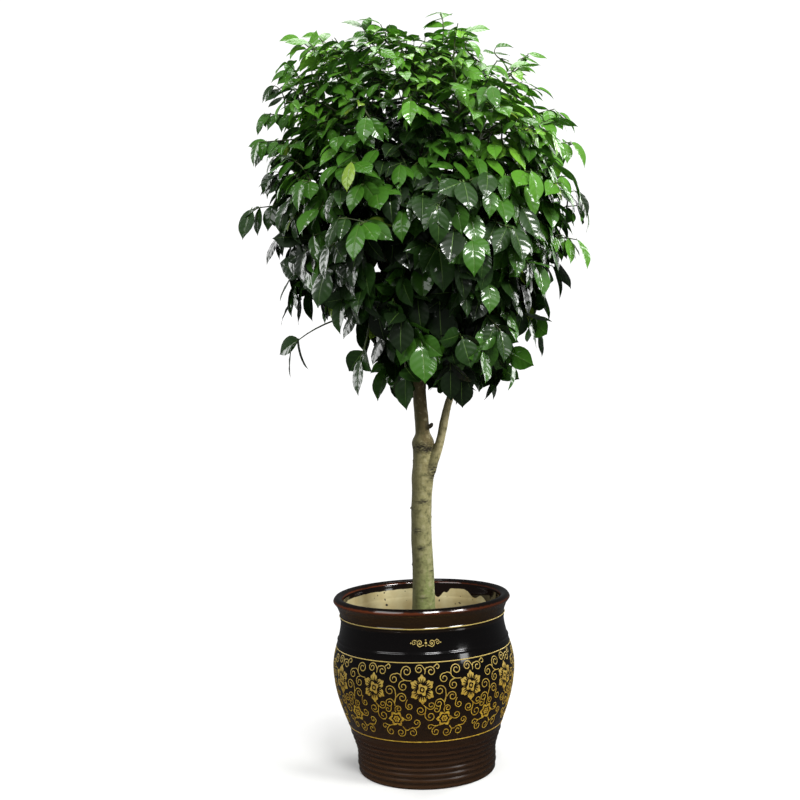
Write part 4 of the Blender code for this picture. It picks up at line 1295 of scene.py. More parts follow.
def spray_shade(spot, depth, dice):
    """The green of a spray by its place: lighter toward the top and, as painted light, on the lit
    right; darker below, and darker still inside the crown and in its hollows as painted shade.
    """
    share = height_share(spot)
    tone = 1.0 + TONE_RISE * eased(share, 0.30, 0.88) + dice.uniform(-1.0, 1.0)
    tone += TONE_RIGHT * eased(spot.x - CROWN_MIDDLE.x, 0.0, 0.25) * eased(share, 0.20, 0.42)
    if depth < LIT_DEPTH:
        tone -= TONE_INSIDE * (LIT_DEPTH - depth) / 0.15
    if dice.random() < HOLLOW_CHANCE:
        tone -= TONE_HOLLOW * max(hollow_depth(spot, *hollow[:2]) for hollow in HOLLOWS)
    return min(max(int(round(tone)), 0), LIGHTEST_SPRAY)


def spread_share(point):
    """How far leaves spread outward at a point, from 0 low in the crown to 1 in its upper part."""
    return eased(height_share(point), 0.30, 0.75)


def spray_direction(spot, out, dice):
    """Where a fine twig's last leaf points: outward with a droop above, hanging below."""
    spread = spread_share(spot)
    level = level_direction(out, 0.30, dice)
    rise = 0.45 * eased(out.z, 0.6, 0.95)
    aim = level * (0.30 + 0.70 * spread) + Vector((0, 0, rise - 0.85 + 0.55 * spread))
    return (aim + wandering(dice, 0.6) * 0.34).normalized()


def bent_path(root, end, out, direction, steps):
    """A twig's path: it leaves its limb, bends outward and arrives along its last leaf."""
    arrival = (out * 0.75 + direction * 0.55 + Vector((0, 0, 0.25))).normalized()
    return bowed_path(root, end - arrival * (end - root).length * 0.40, end, steps)


def leaf_pairs(growth, path, direction, out, shade, size, pairs, dice):
    """The last leaf at a twig's end, and the opposite pairs before it."""
    settings = growth.settings
    spread = spread_share(path[-1])
    sky = Vector((0.0, 0.0, 0.25 + 0.75 * spread))
    wander = wandering(dice)
    # Where the outline is thin, leaves turn their faces to the front.
    turned = Vector((0.0, -1.2 * spread if growth.outlying else 0.0, 0.0))
    upper = out * (1.0 - 0.35 * spread) + sky + wander * (0.22 + 0.20 * spread) + turned
    growth.add_leaf(path[-1], direction + wander * 0.12, upper, size * dice.uniform(0.98, 1.14),
                    leaf_shade(shade, dice), dice)
    total = sum((path[i + 1] - path[i]).length for i in range(len(path) - 1))
    back = settings.first_pair * size
    for pair in range(pairs):
        if back > total * 0.92:
            break
        station, heading = point_at(path, 1 - back / total)
        side = heading.cross(upper).normalized()
        for hand in (-1, 1):
            wander = wandering(dice)
            aim = (side * hand * 0.85 + heading * 0.25 + direction * 0.45 + wander * 0.30
                   - Vector((0.0, 0.0, 0.40 - 0.16 * spread)))
            face = out * (1.0 - 0.40 * spread) + sky + wander.cross(aim) * (0.36 + 0.22 * spread)
            face += side * hand * 0.25 + turned
            growth.add_leaf(station, aim, face, size * dice.uniform(0.78, 1.08),
                            leaf_shade(shade, dice), dice)
        back += settings.pair_spacing * size * dice.uniform(0.9, 1.1)


def leaf_shade(shade, dice):
    """Most leaves of a spray have its green; one in eighty is a young lime green."""
    if shade < LIGHTEST_SPRAY and dice.random() < LIME_SHARE:
        return LIGHTEST_SPRAY + 1
    return shade


def grow_mass(growth, feed, spots, fringe, fine_spots, seed):
    """One mass: its stem, the source's main twigs, and the finer sprays between them."""
    settings = growth.settings
    dice = random.Random(seed)
    root, along = feed
    centre = Vector((0.0, 0.0, 0.0))
    for spot, hang in spots:
        centre += spot / len(spots)
    aim = centre - root
    first = root + along * 0.010
    end = root + (along * 0.4 + aim.normalized() * 0.6).normalized() * 0.50 * aim.length
    bend = first.lerp(end, 0.5) + along * 0.004
    stem = smooth_path([root - along * 0.006, first, bend, end], STEM_SPANS)
    growth.lines.append((stem, tapered(STEM_RADIUS, 0.75 * STEM_RADIUS, len(stem))))
    joints = list(stem[FIRST_JOINT:])
    order = sorted(spots, key=lambda item: (item[0] - end).length, reverse=True)
    for number, (spot, hang) in enumerate(order):
        growth.outlying = hang is not None
        if hang is None:
            spot = fitted_place(spot, 0.98)
        out = crown_outward(spot)
        direction = hang if hang else hang_direction(out, MAIN_LEAN, dice)
        size = spray_size(spot) * dice.uniform(0.95, 1.08)
        tip = spot + direction * LEAF_FORWARD * SOLID_LEAF_LENGTH
        tip_root = tip - direction * settings.leaf_length * size
        if hang is None and over_dome(tip_root) > -DOME_SPARE:
            continue
        joint = point_at(stem, 0.35 + 0.6 * (number + 0.5) / len(order))[0]
        # The outlying twigs of the low crown are nearly bare, and nothing else grows on them.
        low = growth.outlying and spot.z <= BARE_TWIG_HEIGHT
        pairs = 1 if low and spot.x < 0 else settings.pairs + 1
        path = growth.add_spray(joint, tip_root, out, direction, MAIN_SPANS, MAIN_TWIG_RADII,
                                spray_shade(spot, 1.0, dice), size, pairs, dice)
        if not low:
            joints += path[2:8]
    growth.outlying = True
    for tip in fringe:
        out = crown_outward(tip)
        direction = hang_direction(out, FRINGE_LEAN, dice)
        size = spray_size(tip) * dice.uniform(0.95, 1.05)
        tip_root = tip - direction * settings.leaf_length * size
        joint = min(joints, key=lambda p: (p - tip_root).length)
        shade = max(spray_shade(tip, 1.0, dice) - 1, 0)
        growth.add_spray(joint, tip_root, out, direction, FRINGE_SPANS, FINE_TWIG_RADII, shade,
                         size, FRINGE_PAIRS, dice)
    growth.outlying = False
    for spot, depth in fine_spots:
        out = crown_outward(spot)
        place = fitted_place(spot, depth)
        direction = spray_direction(spot, out, dice)
        size = spray_size(spot) * dice.uniform(0.84, 1.12)
        tip_root = place - direction * settings.leaf_length * size * 0.45
        if over_dome(tip_root) > -DOME_SPARE or hides_trunk(tip_root):
            continue
        reach = (tip_root - CROWN_MIDDLE).length
        joint = min(joints, key=lambda p: (p - tip_root).length
                    + 0.9 * max((p - CROWN_MIDDLE).length - reach + 0.035, 0.0))
        growth.add_spray(joint, tip_root, out, direction, FINE_SPANS, FINE_TWIG_RADII,
                         spray_shade(spot, depth, dice), size, settings.pairs, dice)


def spray_size(spot):
    """Leaves are smaller at the top of the crown and larger below."""
    return 1.04 - 0.34 * eased(height_share(spot), 0.25, 0.95)


def grow_crown(settings):
    """Grow every mass. Returns the growth of each ring, from the top to the lower one."""
    middles = {name: middle for name, middle, parent, place in bough_plan()}
    feeds = limb_lines()[1]
    chosen = main_sprays(middles)
    samples = surface_samples(FINE_SAMPLES)
    owned = owned_samples(samples, middles)
    rings = {ring: Growth(settings) for ring in RING_DENSITY}
    for number, name in enumerate(middles):
        ring = name.split("_")[0]
        dice = random.Random(settings.seed * 1000 + number)
        inside = inside_walls(owned[name], space_walls(name, middles), 0.006)
        part = len(owned[name]) / len(samples) * RING_DENSITY[ring]
        picked = spread_spots(inside, [spot for spot, hang in chosen[name]],
                              round(settings.sprays * part))
        fine_spots = []
        for spot in picked:
            lump = noise.noise(spot * settings.lump_scale + Vector((3.1, 7.7, 1.3)))
            depth = (settings.reach + settings.lumps * lump
                     + dice.uniform(-DEPTH_SPREAD, DEPTH_SPREAD))
            fine_spots.append((spot, min(depth, FARTHEST_FINE_SPRAY)))
        for spot in picked[::max(round(len(picked) / (settings.inner_sprays * part)), 1)]:
            fine_spots.append((spot, dice.uniform(*INNER_DEPTHS)))
        fringe = [tip for tip in map(Vector, FRINGE_TIPS) if nearest_mass(middles, tip) == name]
        grow_mass(rings[ring], feeds[name], chosen[name], fringe, fine_spots,
                  settings.seed * 2000 + number)
    return rings


# The leaflet, and the geometry nodes that repeat shapes.
def leaf_template(name, materials, width, fold, droop, twist):
    """One leaflet of length 1 along +Y with its upper side to +Z: bulged between its veins,
    folded along its midrib, and drooping into a drip tip. Its UV runs across and along it, and
    its middle strip is the pale rib."""
    vertices = []
    places = []
    for row, (share, half) in enumerate(LEAF_ROWS):
        for column in LEAF_COLUMNS:
            out = abs(column)
            forward = 0.085 * out * math.sin(math.pi * min(max(share, 0.0), 1.0)) ** 0.7
            along = share + forward
            ahead = max(along, 0.0)
            across = column * half * 0.5 * width
            lift = fold * abs(across) * 2.0 - 0.55 * abs(across) ** 2 / width
            lift -= droop * ahead ** 2.2
            if 2 <= row <= 9 and 0.1 < out < 0.9:
                lift += 0.012 if row % 2 else -0.008
            lift += twist * across * ahead
            vertices.append((across, along * (1 - 0.25 * droop * ahead), lift))
            places.append((0.5 + 0.5 * column * half, min(ahead, 1.0)))
    width = len(LEAF_COLUMNS)
    strips = width - 1
    faces = [(low, low + 1, low + width + 1, low + width)
             for row in range(len(LEAF_ROWS) - 1)
             for low in range(row * width, row * width + strips)]
    item = make_object(name, vertices, faces, materials, recalculate=False)
    layer = item.data.uv_layers.new(name="blade")
    for loop in item.data.loops:
        layer.data[loop.index].uv = places[loop.vertex_index]
    ribs = [index % strips == strips // 2 or index < strips for index in range(len(faces))]
    item.data.polygons.foreach_set("material_index", [int(rib) for rib in ribs])
    add_layer(item.data, "rib", "BOOLEAN", ribs, "FACE")
    return item


def leaf_material(name, colour):
    """A china doll leaflet: a waxy living leaf, so its green has a white gloss that the sunken
    side veins break up."""
    material, tree, shader = new_material(name, {
        "Base Color": (*linear(colour), 1.0), "Roughness": 0.46, "IOR": 1.32,
        "Coat Weight": 0.80, "Coat Roughness": 0.10, "Coat IOR": 1.45})
    place = add_node(tree, "ShaderNodeUVMap", {"uv_map": "blade"}).outputs["UV"]
    across, along = parts_of(tree, place)[:2]
    aside = maths(tree, "ABSOLUTE", maths(tree, "SUBTRACT", across, 0.5))
    # Five side veins on each side of a leaflet, 12 mm apart, bowed toward its tip.
    bowed = maths(tree, "POWER", aside, 1.35)
    slanted = maths(tree, "MULTIPLY_ADD", bowed, -0.55, along)
    wave = maths(tree, "COSINE", maths(tree, "MULTIPLY", slanted, 2 * math.pi * 5.0))
    midrib = ranged(tree, aside, 0.050, 0.015)
    relief = maths(tree, "MULTIPLY_ADD", wave, 0.5, midrib)
    roughen(tree, shader, relief, 0.42, 0.0008, ("Normal", "Coat Normal"), invert=True)
    return material


def rib_material():
    """The leaflet's midrib and stalk: smooth pale green, half matt."""
    material, tree, shader = new_material("leaf_midrib", {
        "Base Color": (*linear(RIB_GREEN), 1.0), "Roughness": 0.42, "IOR": 1.45})
    roughen(tree, shader, grain(tree, object_place(tree), 900.0, 1.0), 0.2, 0.0003)
    return material


def named(tree, name, kind="FLOAT"):
    """A named value of the mesh."""
    return add_node(tree, "GeometryNodeInputNamedAttribute", {"data_type": kind},
                    {"Name": name}).outputs[0]


def shapes_of(tree, collection):
    """The shapes in a collection, each to be picked by its number."""
    return add_node(tree, "GeometryNodeCollectionInfo", None, {
        "Separate Children": True, "Reset Children": True,
        "Collection": collection}).outputs[0]


def finish_tree(tree, result, shape, material):
    """End a tree: make what it repeats real, and give it its material."""
    real = add_node(tree, "GeometryNodeRealizeInstances", None, {"Geometry": shape})
    done = add_node(tree, "GeometryNodeSetMaterial", None,
                    {"Geometry": real.outputs[0], "Material": material})
    tree.links.new(done.outputs[0], result.inputs["Geometry"])
    return tree


def foliage_tree():
    """Geometry nodes that put a leaflet on every point, turned by the point's own axes and in
    the green of its spray."""
    inputs = [("Leaflets", "Collection"), ("Leaf length", "Float")]
    inputs += [(name, "Material") for name, colour in SHADES]
    tree, given, result = new_tree("leaflets_on_points", inputs)
    turn = add_node(tree, "FunctionNodeAxesToRotation",
                    {"primary_axis": "Y", "secondary_axis": "Z"},
                    {"Primary Axis": named(tree, "heading", "FLOAT_VECTOR"),
                     "Secondary Axis": named(tree, "upper", "FLOAT_VECTOR")})
    placed = add_node(tree, "GeometryNodeInstanceOnPoints", None, {
        "Pick Instance": True, "Points": given["Geometry"],
        "Instance": shapes_of(tree, given["Leaflets"]),
        "Instance Index": named(tree, "variant", "INT"), "Rotation": turn.outputs[0],
        "Scale": maths(tree, "MULTIPLY", named(tree, "size"), given["Leaf length"])})
    real = add_node(tree, "GeometryNodeRealizeInstances", None, {"Geometry": placed.outputs[0]})
    blade = add_node(tree, "FunctionNodeBooleanMath", {"operation": "NOT"},
                     {0: named(tree, "rib", "BOOLEAN")})
    shape = real.outputs[0]
    shade = named(tree, "shade", "INT")
    for number, (name, colour) in enumerate(SHADES):
        chosen = add_node(tree, "FunctionNodeCompare", {"data_type": "INT", "operation": "EQUAL"},
                          {"A_INT": shade, "B_INT": number})
        both = add_node(tree, "FunctionNodeBooleanMath", {"operation": "AND"},
                        {0: chosen.outputs[0], 1: blade.outputs[0]})
        green = add_node(tree, "GeometryNodeSetMaterial", None, {
            "Geometry": shape, "Selection": both.outputs[0], "Material": given[name]})
        shape = green.outputs[0]
    tree.links.new(shape, result.inputs["Geometry"])
    return tree


def twig_tree():
    """Geometry nodes that sweep a round section along every line, at each point's radius."""
    tree, given, result = new_tree("twigs_on_lines", [("Sides", "Int"), ("Bark", "Material")])
    curve = add_node(tree, "GeometryNodeMeshToCurve", None, {"Mesh": given["Geometry"]})
    section = add_node(tree, "GeometryNodeCurvePrimitiveCircle", {"mode": "RADIUS"},
                       {"Radius": 1.0, "Resolution": given["Sides"]})
    swept = add_node(tree, "GeometryNodeCurveToMesh", None, {
        "Fill Caps": True, "Curve": curve.outputs[0], "Profile Curve": section.outputs[0],
        "Scale": named(tree, "radius_here")})
    smooth = add_node(tree, "GeometryNodeSetShadeSmooth", None, {"Geometry": swept.outputs[0]})
    return finish_tree(tree, result, smooth.outputs[0], given["Bark"])


def repeat_tree():
    """Geometry nodes that repeat a shape round the pot's axis."""
    tree, given, result = new_tree("repeats_round_axis", [
        ("Shape", "Object"), ("Count", "Int"), ("First angle", "Float"), ("Finish", "Material")])
    shape = add_node(tree, "GeometryNodeObjectInfo", {"transform_space": "ORIGINAL"},
                     {"As Instance": True, "Object": given["Shape"]})
    points = add_node(tree, "GeometryNodeMeshLine", {"mode": "OFFSET"},
                      {"Offset": (0, 0, 0), "Count": given["Count"]})
    number = add_node(tree, "GeometryNodeInputIndex").outputs[0]
    share = maths(tree, "DIVIDE", number, given["Count"])
    whole = maths(tree, "ADD", maths(tree, "MULTIPLY", share, 2 * math.pi),
                  given["First angle"])
    euler = add_node(tree, "ShaderNodeCombineXYZ", None, {"Z": whole})
    turn = add_node(tree, "FunctionNodeEulerToRotation", None, {0: euler.outputs[0]})
    placed = add_node(tree, "GeometryNodeInstanceOnPoints", None, {
        "Points": points.outputs[0], "Instance": shape.outputs["Geometry"],
        "Rotation": turn.outputs[0]})
    return finish_tree(tree, result, placed.outputs[0], given["Finish"])


def scatter_tree():
    """Geometry nodes that scatter lumps over the top of the potting mix."""
    tree, given, result = new_tree("lumps_on_soil", [
        ("Lumps", "Collection"), ("Density", "Float"), ("Smallest", "Float"),
        ("Largest", "Float"), ("Seed", "Int"), ("Soil", "Material")])
    top = add_node(tree, "FunctionNodeCompare", {"data_type": "FLOAT",
                                                 "operation": "GREATER_THAN"},
                   {"A": named(tree, "top"), "B": 0.5})
    points = add_node(tree, "GeometryNodeDistributePointsOnFaces",
                      {"distribute_method": "RANDOM"},
                      {"Mesh": given["Geometry"], "Selection": top.outputs[0],
                       "Density": given["Density"], "Seed": given["Seed"]})
    size = add_node(tree, "FunctionNodeRandomValue", {"data_type": "FLOAT"}, {
        "Min_001": given["Smallest"], "Max_001": given["Largest"], "Seed": given["Seed"]})
    spin = add_node(tree, "FunctionNodeRandomValue", {"data_type": "FLOAT_VECTOR"},
                    {"Max": (6.28, 6.28, 6.28), "Seed": given["Seed"]})
    turn = add_node(tree, "FunctionNodeEulerToRotation", None, {0: spin.outputs[0]})
    placed = add_node(tree, "GeometryNodeInstanceOnPoints", None, {
        "Pick Instance": True, "Points": points.outputs[0],
        "Instance": shapes_of(tree, given["Lumps"]), "Rotation": turn.outputs[0],
        "Scale": size.outputs[1]})
    both = add_node(tree, "GeometryNodeJoinGeometry")
    tree.links.new(given["Geometry"], both.inputs[0])
    tree.links.new(placed.outputs[0], both.inputs[0])
    return finish_tree(tree, result, both.outputs[0], given["Soil"])


# Materials of the pot, the soil, the wood and the floor.
def glaze_material():
    """Fired stoneware glaze, poured over a wheel-thrown pot: near black where it is thick, brown
    over the foot and the collar where it is thin, and as glossy as glass."""
    material, tree, shader = new_material("poured_stoneware_glaze", {
        "IOR": 1.48, "Coat Roughness": 0.05})
    place = object_place(tree)
    right, up = parts_of(tree, place)[::2]
    # Mottles about 9 mm across push the tone up and down the pot a little.
    mottle = grain(tree, place, 110.0, 3.0, 0.55)
    height = maths(tree, "ADD", up, maths(tree, "MULTIPLY_ADD", mottle, 0.005, -0.0025))
    tone = coloured(tree, ranged(tree, height, 0.0, 0.37), (
        (0.00, "#2f1d0d"), (0.22, "#2b190b"), (0.31, "#241609"), (0.50, "#1a1007"),
        (0.66, "#070505"), (0.86, "#070505"), (0.895, "#241607"), (0.962, "#32200a"),
        (0.972, "#46210f"), (0.979, "#5c2a12"), (0.985, "#150c08"), (0.995, "#0a0706")))
    # The glaze is brown on the ribs' crests, where it wears thin, and darker between them as
    # painted shade.
    swing = maths(tree, "MULTIPLY_ADD", up, 2 * math.pi / RIB_PITCH,
                  -2 * math.pi * RIB_FIRST_HEIGHT / RIB_PITCH)
    foot = ranged(tree, up, 0.092, 0.078, 0.0, 0.34)
    crest_wear_and_groove_shade = maths(tree, "MULTIPLY_ADD", maths(tree, "COSINE", swing), foot, 1.0)
    # Thin glaze is less glossy, so the ribs have a softer sheen than the belly.
    for socket, gain, least in (("Roughness", 0.36, 0.13), ("Coat Weight", -0.85, 0.35)):
        tree.links.new(maths(tree, "MULTIPLY_ADD", foot, gain, least), shader.inputs[socket])
    # Painted light and shade across the pot: the glaze is browner on the left and darker on the
    # right.
    strength = maths(tree, "MULTIPLY", crest_wear_and_groove_shade, ranged(tree, right, -0.15, 0.13, 1.45, 0.65))
    toned = add_node(tree, "ShaderNodeVectorMath", {"operation": "SCALE"},
                     {0: tone, "Scale": strength})
    tree.links.new(toned.outputs[0], shader.inputs["Base Color"])
    roughen(tree, shader, grain(tree, place, 90.0, 1.0), 0.05, 0.0006, ("Normal", "Coat Normal"))
    return material


def inside_material():
    """Bare cream stoneware inside the pot, matt and lightly specked, under a glossy dark rim of
    glaze that has run down in a few drips."""
    material, tree, shader = new_material("bare_cream_stoneware", {"IOR": 1.5})
    place = object_place(tree)
    right, up = parts_of(tree, place)[::2]
    # Rounded drips, each a bell curve across the wall, over a slightly uneven edge.
    ragged = grain(tree, stretched(tree, place, 0.12), 55.0, 1.0)
    depth = maths(tree, "MULTIPLY_ADD", ragged, 0.0030, -0.0015)
    for middle, wide, long in GLAZE_DRIPS:
        across = maths(tree, "MULTIPLY_ADD", right, 1 / wide, -middle / wide)
        bell = maths(tree, "POWER", math.exp(-1.0), maths(tree, "MULTIPLY", across, across))
        depth = maths(tree, "MULTIPLY_ADD", bell, long, depth)
    above = maths(tree, "SUBTRACT", up, maths(tree, "SUBTRACT", GLAZE_EDGE_HEIGHT, depth))
    glazed = ranged(tree, above, -0.0006, 0.0006)
    specks = ranged(tree, grain(tree, place, 130.0, 0.0), 0.765, 0.78)
    clay = coloured(tree, grain(tree, place, 30.0, 4.0), ((0.30, "#b5a370"), (0.70, "#cbc092")))
    mixed = blended(tree, maths(tree, "MAXIMUM", glazed, specks), clay, "#150d09")
    tree.links.new(mixed, shader.inputs["Base Color"])
    tree.links.new(ranged(tree, glazed, 0.0, 1.0, 0.75, 0.10), shader.inputs["Roughness"])
    return material


def gilt_material():
    """Gold overglaze lustre, brushed on and fired: a thin yellow metal film, rubbed a little
    duller in places, with painted sheen high on the pot."""
    material, tree, shader = new_material("gold_overglaze", {
        "Metallic": 0.25, "Roughness": 0.42})
    place = object_place(tree)
    # Brush marks and wear about 6 mm across, and painted sheen that makes the gold paler high on
    # the pot.
    gold = coloured(tree, grain(tree, place, 160.0, 3.0), (
        (0.30, "#977018"), (0.52, "#c39a26"), (0.72, "#d8ba40")))
    high = ranged(tree, parts_of(tree, place)[2], 0.175, 0.275, 0.0, 0.55)
    tree.links.new(blended(tree, high, gold, "#c9bd7c"), shader.inputs["Base Color"])
    return material


def soil_material():
    """Peaty potting mix: matt dark brown crumbs of different tones."""
    material, tree, shader = new_material("peat_potting_mix", {"Roughness": 0.95, "IOR": 1.4})
    place = object_place(tree)
    crumbs = add_node(tree, "ShaderNodeTexVoronoi", None, {"Vector": place, "Scale": 170.0})
    tone = coloured(tree, parts_of(tree, crumbs.outputs["Color"])[0], (
        (0.0, "#1d130c"), (0.45, "#33231a"), (0.8, "#4a3627"), (1.0, "#6b543c")))
    tree.links.new(tone, shader.inputs["Base Color"])
    roughen(tree, shader, grain(tree, place, 420.0, 4.0), 0.6, 0.001)
    return material


def bark_material():
    """Smooth young bark: matt, olive green with algae over the trunk's foot, beige-grey above,
    darkening to brown in the crown as painted shade under the leaves, mottled, with corky dots and
    dark wrinkled scars, and painted shade on the trunk's left side."""
    material, tree, shader = new_material("smooth_young_bark", {"Roughness": 0.80, "IOR": 1.45})
    place = object_place(tree)
    right, up = parts_of(tree, place)[::2]
    # Patches about 30 mm tall and 12 mm wide move the tone up and down.
    patches = grain(tree, stretched(tree, place, 0.40), 85.0, 5.0)
    height = maths(tree, "ADD", up, maths(tree, "MULTIPLY_ADD", patches, 0.20, -0.10))
    # The ramp darkens to brown up in the crown: painted shade under the leaves.
    wood = coloured(tree, ranged(tree, height, 0.25, 1.05), (
        (0.00, "#76854a"), (0.14, "#838b52"), (0.25, "#928f60"), (0.50, "#8f875b"),
        (0.58, "#6a5d38"), (0.70, "#524425"), (1.00, "#382d19")))
    # The second stem is paler than the leader beside it, below the crown's inside.
    stem = blended(tree, ranged(tree, right, 0.040, 0.052, 0.0, 0.75), wood, "#b3a87c")
    tone = blended(tree, ranged(tree, up, 0.95, 0.84), wood, stem)
    # Blotches of algae and of bare cork, 4 to 10 mm across.
    blotches = grain(tree, place, 80.0, 5.0, 0.65)
    tone = blended(tree, ranged(tree, blotches, 0.50, 0.66, 0.0, 0.78), tone, "#4c4c2a")
    tone = blended(tree, ranged(tree, blotches, 0.47, 0.33, 0.0, 0.62), tone, "#b0a983")
    # The mesh says where its left side takes painted shade, and where its scars are.
    side_shade, scar = [add_node(tree, "ShaderNodeAttribute", {"attribute_name": name}).outputs["Fac"]
                  for name in ("damp_side", "scar")]
    tone = blended(tree, maths(tree, "MULTIPLY", side_shade, 0.80), tone, "#454222")
    tree.links.new(blended(tree, scar, tone, "#211c0e"), shader.inputs["Base Color"])
    roughen(tree, shader, blotches, 0.55, 0.0009)
    return material


def twig_material():
    """Green twigs and leaf stalks, half matt, mottled from dark brown-green to green."""
    material, tree, shader = new_material("green_twig_rind", {"Roughness": 0.55, "IOR": 1.45})
    tone = coloured(tree, grain(tree, object_place(tree), 60.0, 3.0), (
        (0.30, "#2c2a14"), (0.55, "#3b4a1e"), (0.75, "#54692c")))
    tree.links.new(tone, shader.inputs["Base Color"])
    return material


def floor_material(colour):
    """Matt floor paint: a pale round mat that fades into the white backdrop."""
    material, tree, shader = new_material("matt_floor_paint", {
        "Base Color": (*colour, 1.0), "Roughness": 0.9})
    reach = add_node(tree, "ShaderNodeVectorMath", {"operation": "LENGTH"},
                     {0: object_place(tree)})
    fade = ranged(tree, reach.outputs["Value"], 0.22, 0.70, interpolation_type="SMOOTHSTEP")
    clear = add_node(tree, "ShaderNodeBsdfTransparent")
    either = add_node(tree, "ShaderNodeMixShader", None,
                      {0: fade, 1: shader.outputs[0], 2: clear.outputs[0]})
    tree.links.new(either.outputs[0], tree.nodes["Material Output"].inputs["Surface"])
    return material


# What a user may change.
def length_setting(name, description, default):
    """A setting that is a length in metres."""
    return FloatProperty(name=name, description=description, default=default, unit="LENGTH",
                         subtype="DISTANCE")


class PotSettings(bpy.types.PropertyGroup):
    """Sizes of the pot's finish."""
    segments: IntProperty(name="Segments", description="Faces round the pot", default=192,
                          min=32, max=400)
    line_width: length_setting("Line width", "Width of a gilt line", 0.0020)


class SoilSettings(bpy.types.PropertyGroup):
    """Sizes of the potting mix."""
    density: FloatProperty(name="Lumps per square metre", description="How many lumps show",
                           default=17000.0, min=0.0)
    smallest: length_setting("Smallest lump", "Radius of the smallest lump", 0.0014)
    largest: length_setting("Largest lump", "Radius of the largest lump", 0.0042)
    seed: IntProperty(name="Seed", description="Layout of the lumps", default=5)


class BarkSettings(bpy.types.PropertyGroup):
    """Fineness and relief of the bark."""
    voxel: length_setting("Fineness", "Size of the bark's faces", 0.00170)
    relief: length_setting("Relief", "Height of the bark's unevenness", 0.0008)


class FoliageSettings(bpy.types.PropertyGroup):
    """Sizes and counts of the foliage."""
    leaf_length: length_setting("Leaf length", "Length of a leaflet", 0.064)
    leaf_width: FloatProperty(name="Leaf width", description="Share of its length",
                              default=0.62, subtype="FACTOR")
    sprays: IntProperty(name="Fine sprays", description="Sprays between the main ones",
                        default=560, min=0)
    inner_sprays: IntProperty(name="Inner sprays", description="Shaded sprays further in",
                              default=120, min=1)
    reach: FloatProperty(name="Reach", description="Share of the crown's width that fine "
                         "sprays fill", default=0.89, subtype="FACTOR")
    lumps: FloatProperty(name="Lumps", description="How far clusters stand out and hollows "
                         "go in", default=0.20, subtype="FACTOR")
    lump_scale: FloatProperty(name="Lump scale", description="Clusters to the metre",
                              default=9.0)
    pairs: IntProperty(name="Pairs", description="Pairs of leaflets on a fine spray", default=3)
    first_pair: length_setting("First pair", "From the twig's end to its pair", 0.018)
    pair_spacing: length_setting("Pair spacing", "From pair to pair", 0.027)
    seed: IntProperty(name="Seed", description="Layout of the fine twigs", default=7)
    sides: IntProperty(name="Twig sides", description="Faces round a twig", default=5, min=3)


class StageSettings(bpy.types.PropertyGroup):
    """Camera and light."""
    focal_length: FloatProperty(name="Focal length", description="Of the lens", default=47.94,
                                subtype="DISTANCE_CAMERA")
    distance: length_setting("Distance", "From the pot's axis", 2.28)
    height: length_setting("Height", "Of the camera", 0.783)
    aside: length_setting("Aside", "Of the camera, to the right", -0.031)
    roll: FloatProperty(name="Roll", description="Of the camera", default=math.radians(2.0),
                        subtype="ANGLE")
    key_power: FloatProperty(name="Key light", description="Power of the large soft light",
                             default=88.0, subtype="POWER", unit="POWER")
    ambience: FloatProperty(name="Ambience", description="Light from the room", default=0.26,
                            min=0.0)
    floor_colour: FloatVectorProperty(name="Floor colour", description="Colour of the floor",
                                      default=linear("#f4f4f2"), subtype="COLOR", size=3)


# Operators, one for each piece or group of like pieces, and one for the stage.
class PLANT_OT_make_pot(bpy.types.Operator):
    """Make the glazed pot, with its ribs, beads, flared lip and bare inside"""
    bl_idname = "plant.make_pot"
    bl_label = "Pot"

    def execute(self, context):
        settings = context.scene.plant_pot
        pot = make_object("glazed_pot", *lathe(pot_profile(), settings.segments),
                          (glaze_material(), inside_material()))
        for face in pot.data.polygons:
            reach = math.hypot(face.center.x, face.center.y)
            height = face.center.z
            # Inside faces are well within the wall, above the floor and below the lip.
            if (reach < POT_MOUTH_RADIUS + 0.0001 and POT_FLOOR * 0.5 < height < 0.3640
                    and reach < pot_side(height) - POT_WALL / 2):
                face.material_index = 1
        spared_pieces(pot)
        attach(pot, "root")
        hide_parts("pot")
        return {"FINISHED"}


class PLANT_OT_make_scrollwork(bpy.types.Operator):
    """Make the gilt flowers, curls and lines on the pot's side"""
    bl_idname = "plant.make_scrollwork"
    bl_label = "Gilt scrollwork"

    def execute(self, context):
        width = context.scene.plant_pot.line_width * 1000
        gilt = gilt_material()
        shapes = [raised_shape(ribbon(stroke_points(*stroke), STROKE_SHARE * width), False)
                  for stroke in STROKES]
        shapes += [raised_shape(plate, True) for plate in flower_shapes()]
        unit = make_object("scroll_unit", *joined(shapes), (gilt,), smooth=False)
        scroll = make_object("gilt_scrollwork", [(0, 0, 0)], [])
        node_modifier(scroll, repeat_tree(), {
            "Shape": unit, "Count": REPEATS, "First angle": math.radians(FIRST_REPEAT),
            "Finish": gilt})
        plain_result(scroll)
        hide_template(unit)
        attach(scroll, "root")

        shapes = [raised_shape(band_line(height, breadth), True) for height, breadth in GILT_LINES]
        shapes += [raised_shape(rows, closed, math.radians(ORNAMENT_TURN), ORNAMENT_LOW)
                   for rows, closed in ornament_shapes()]
        lines = make_object("gilt_lines", *joined(shapes), (gilt,))
        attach(lines, "root")
        return {"FINISHED"}


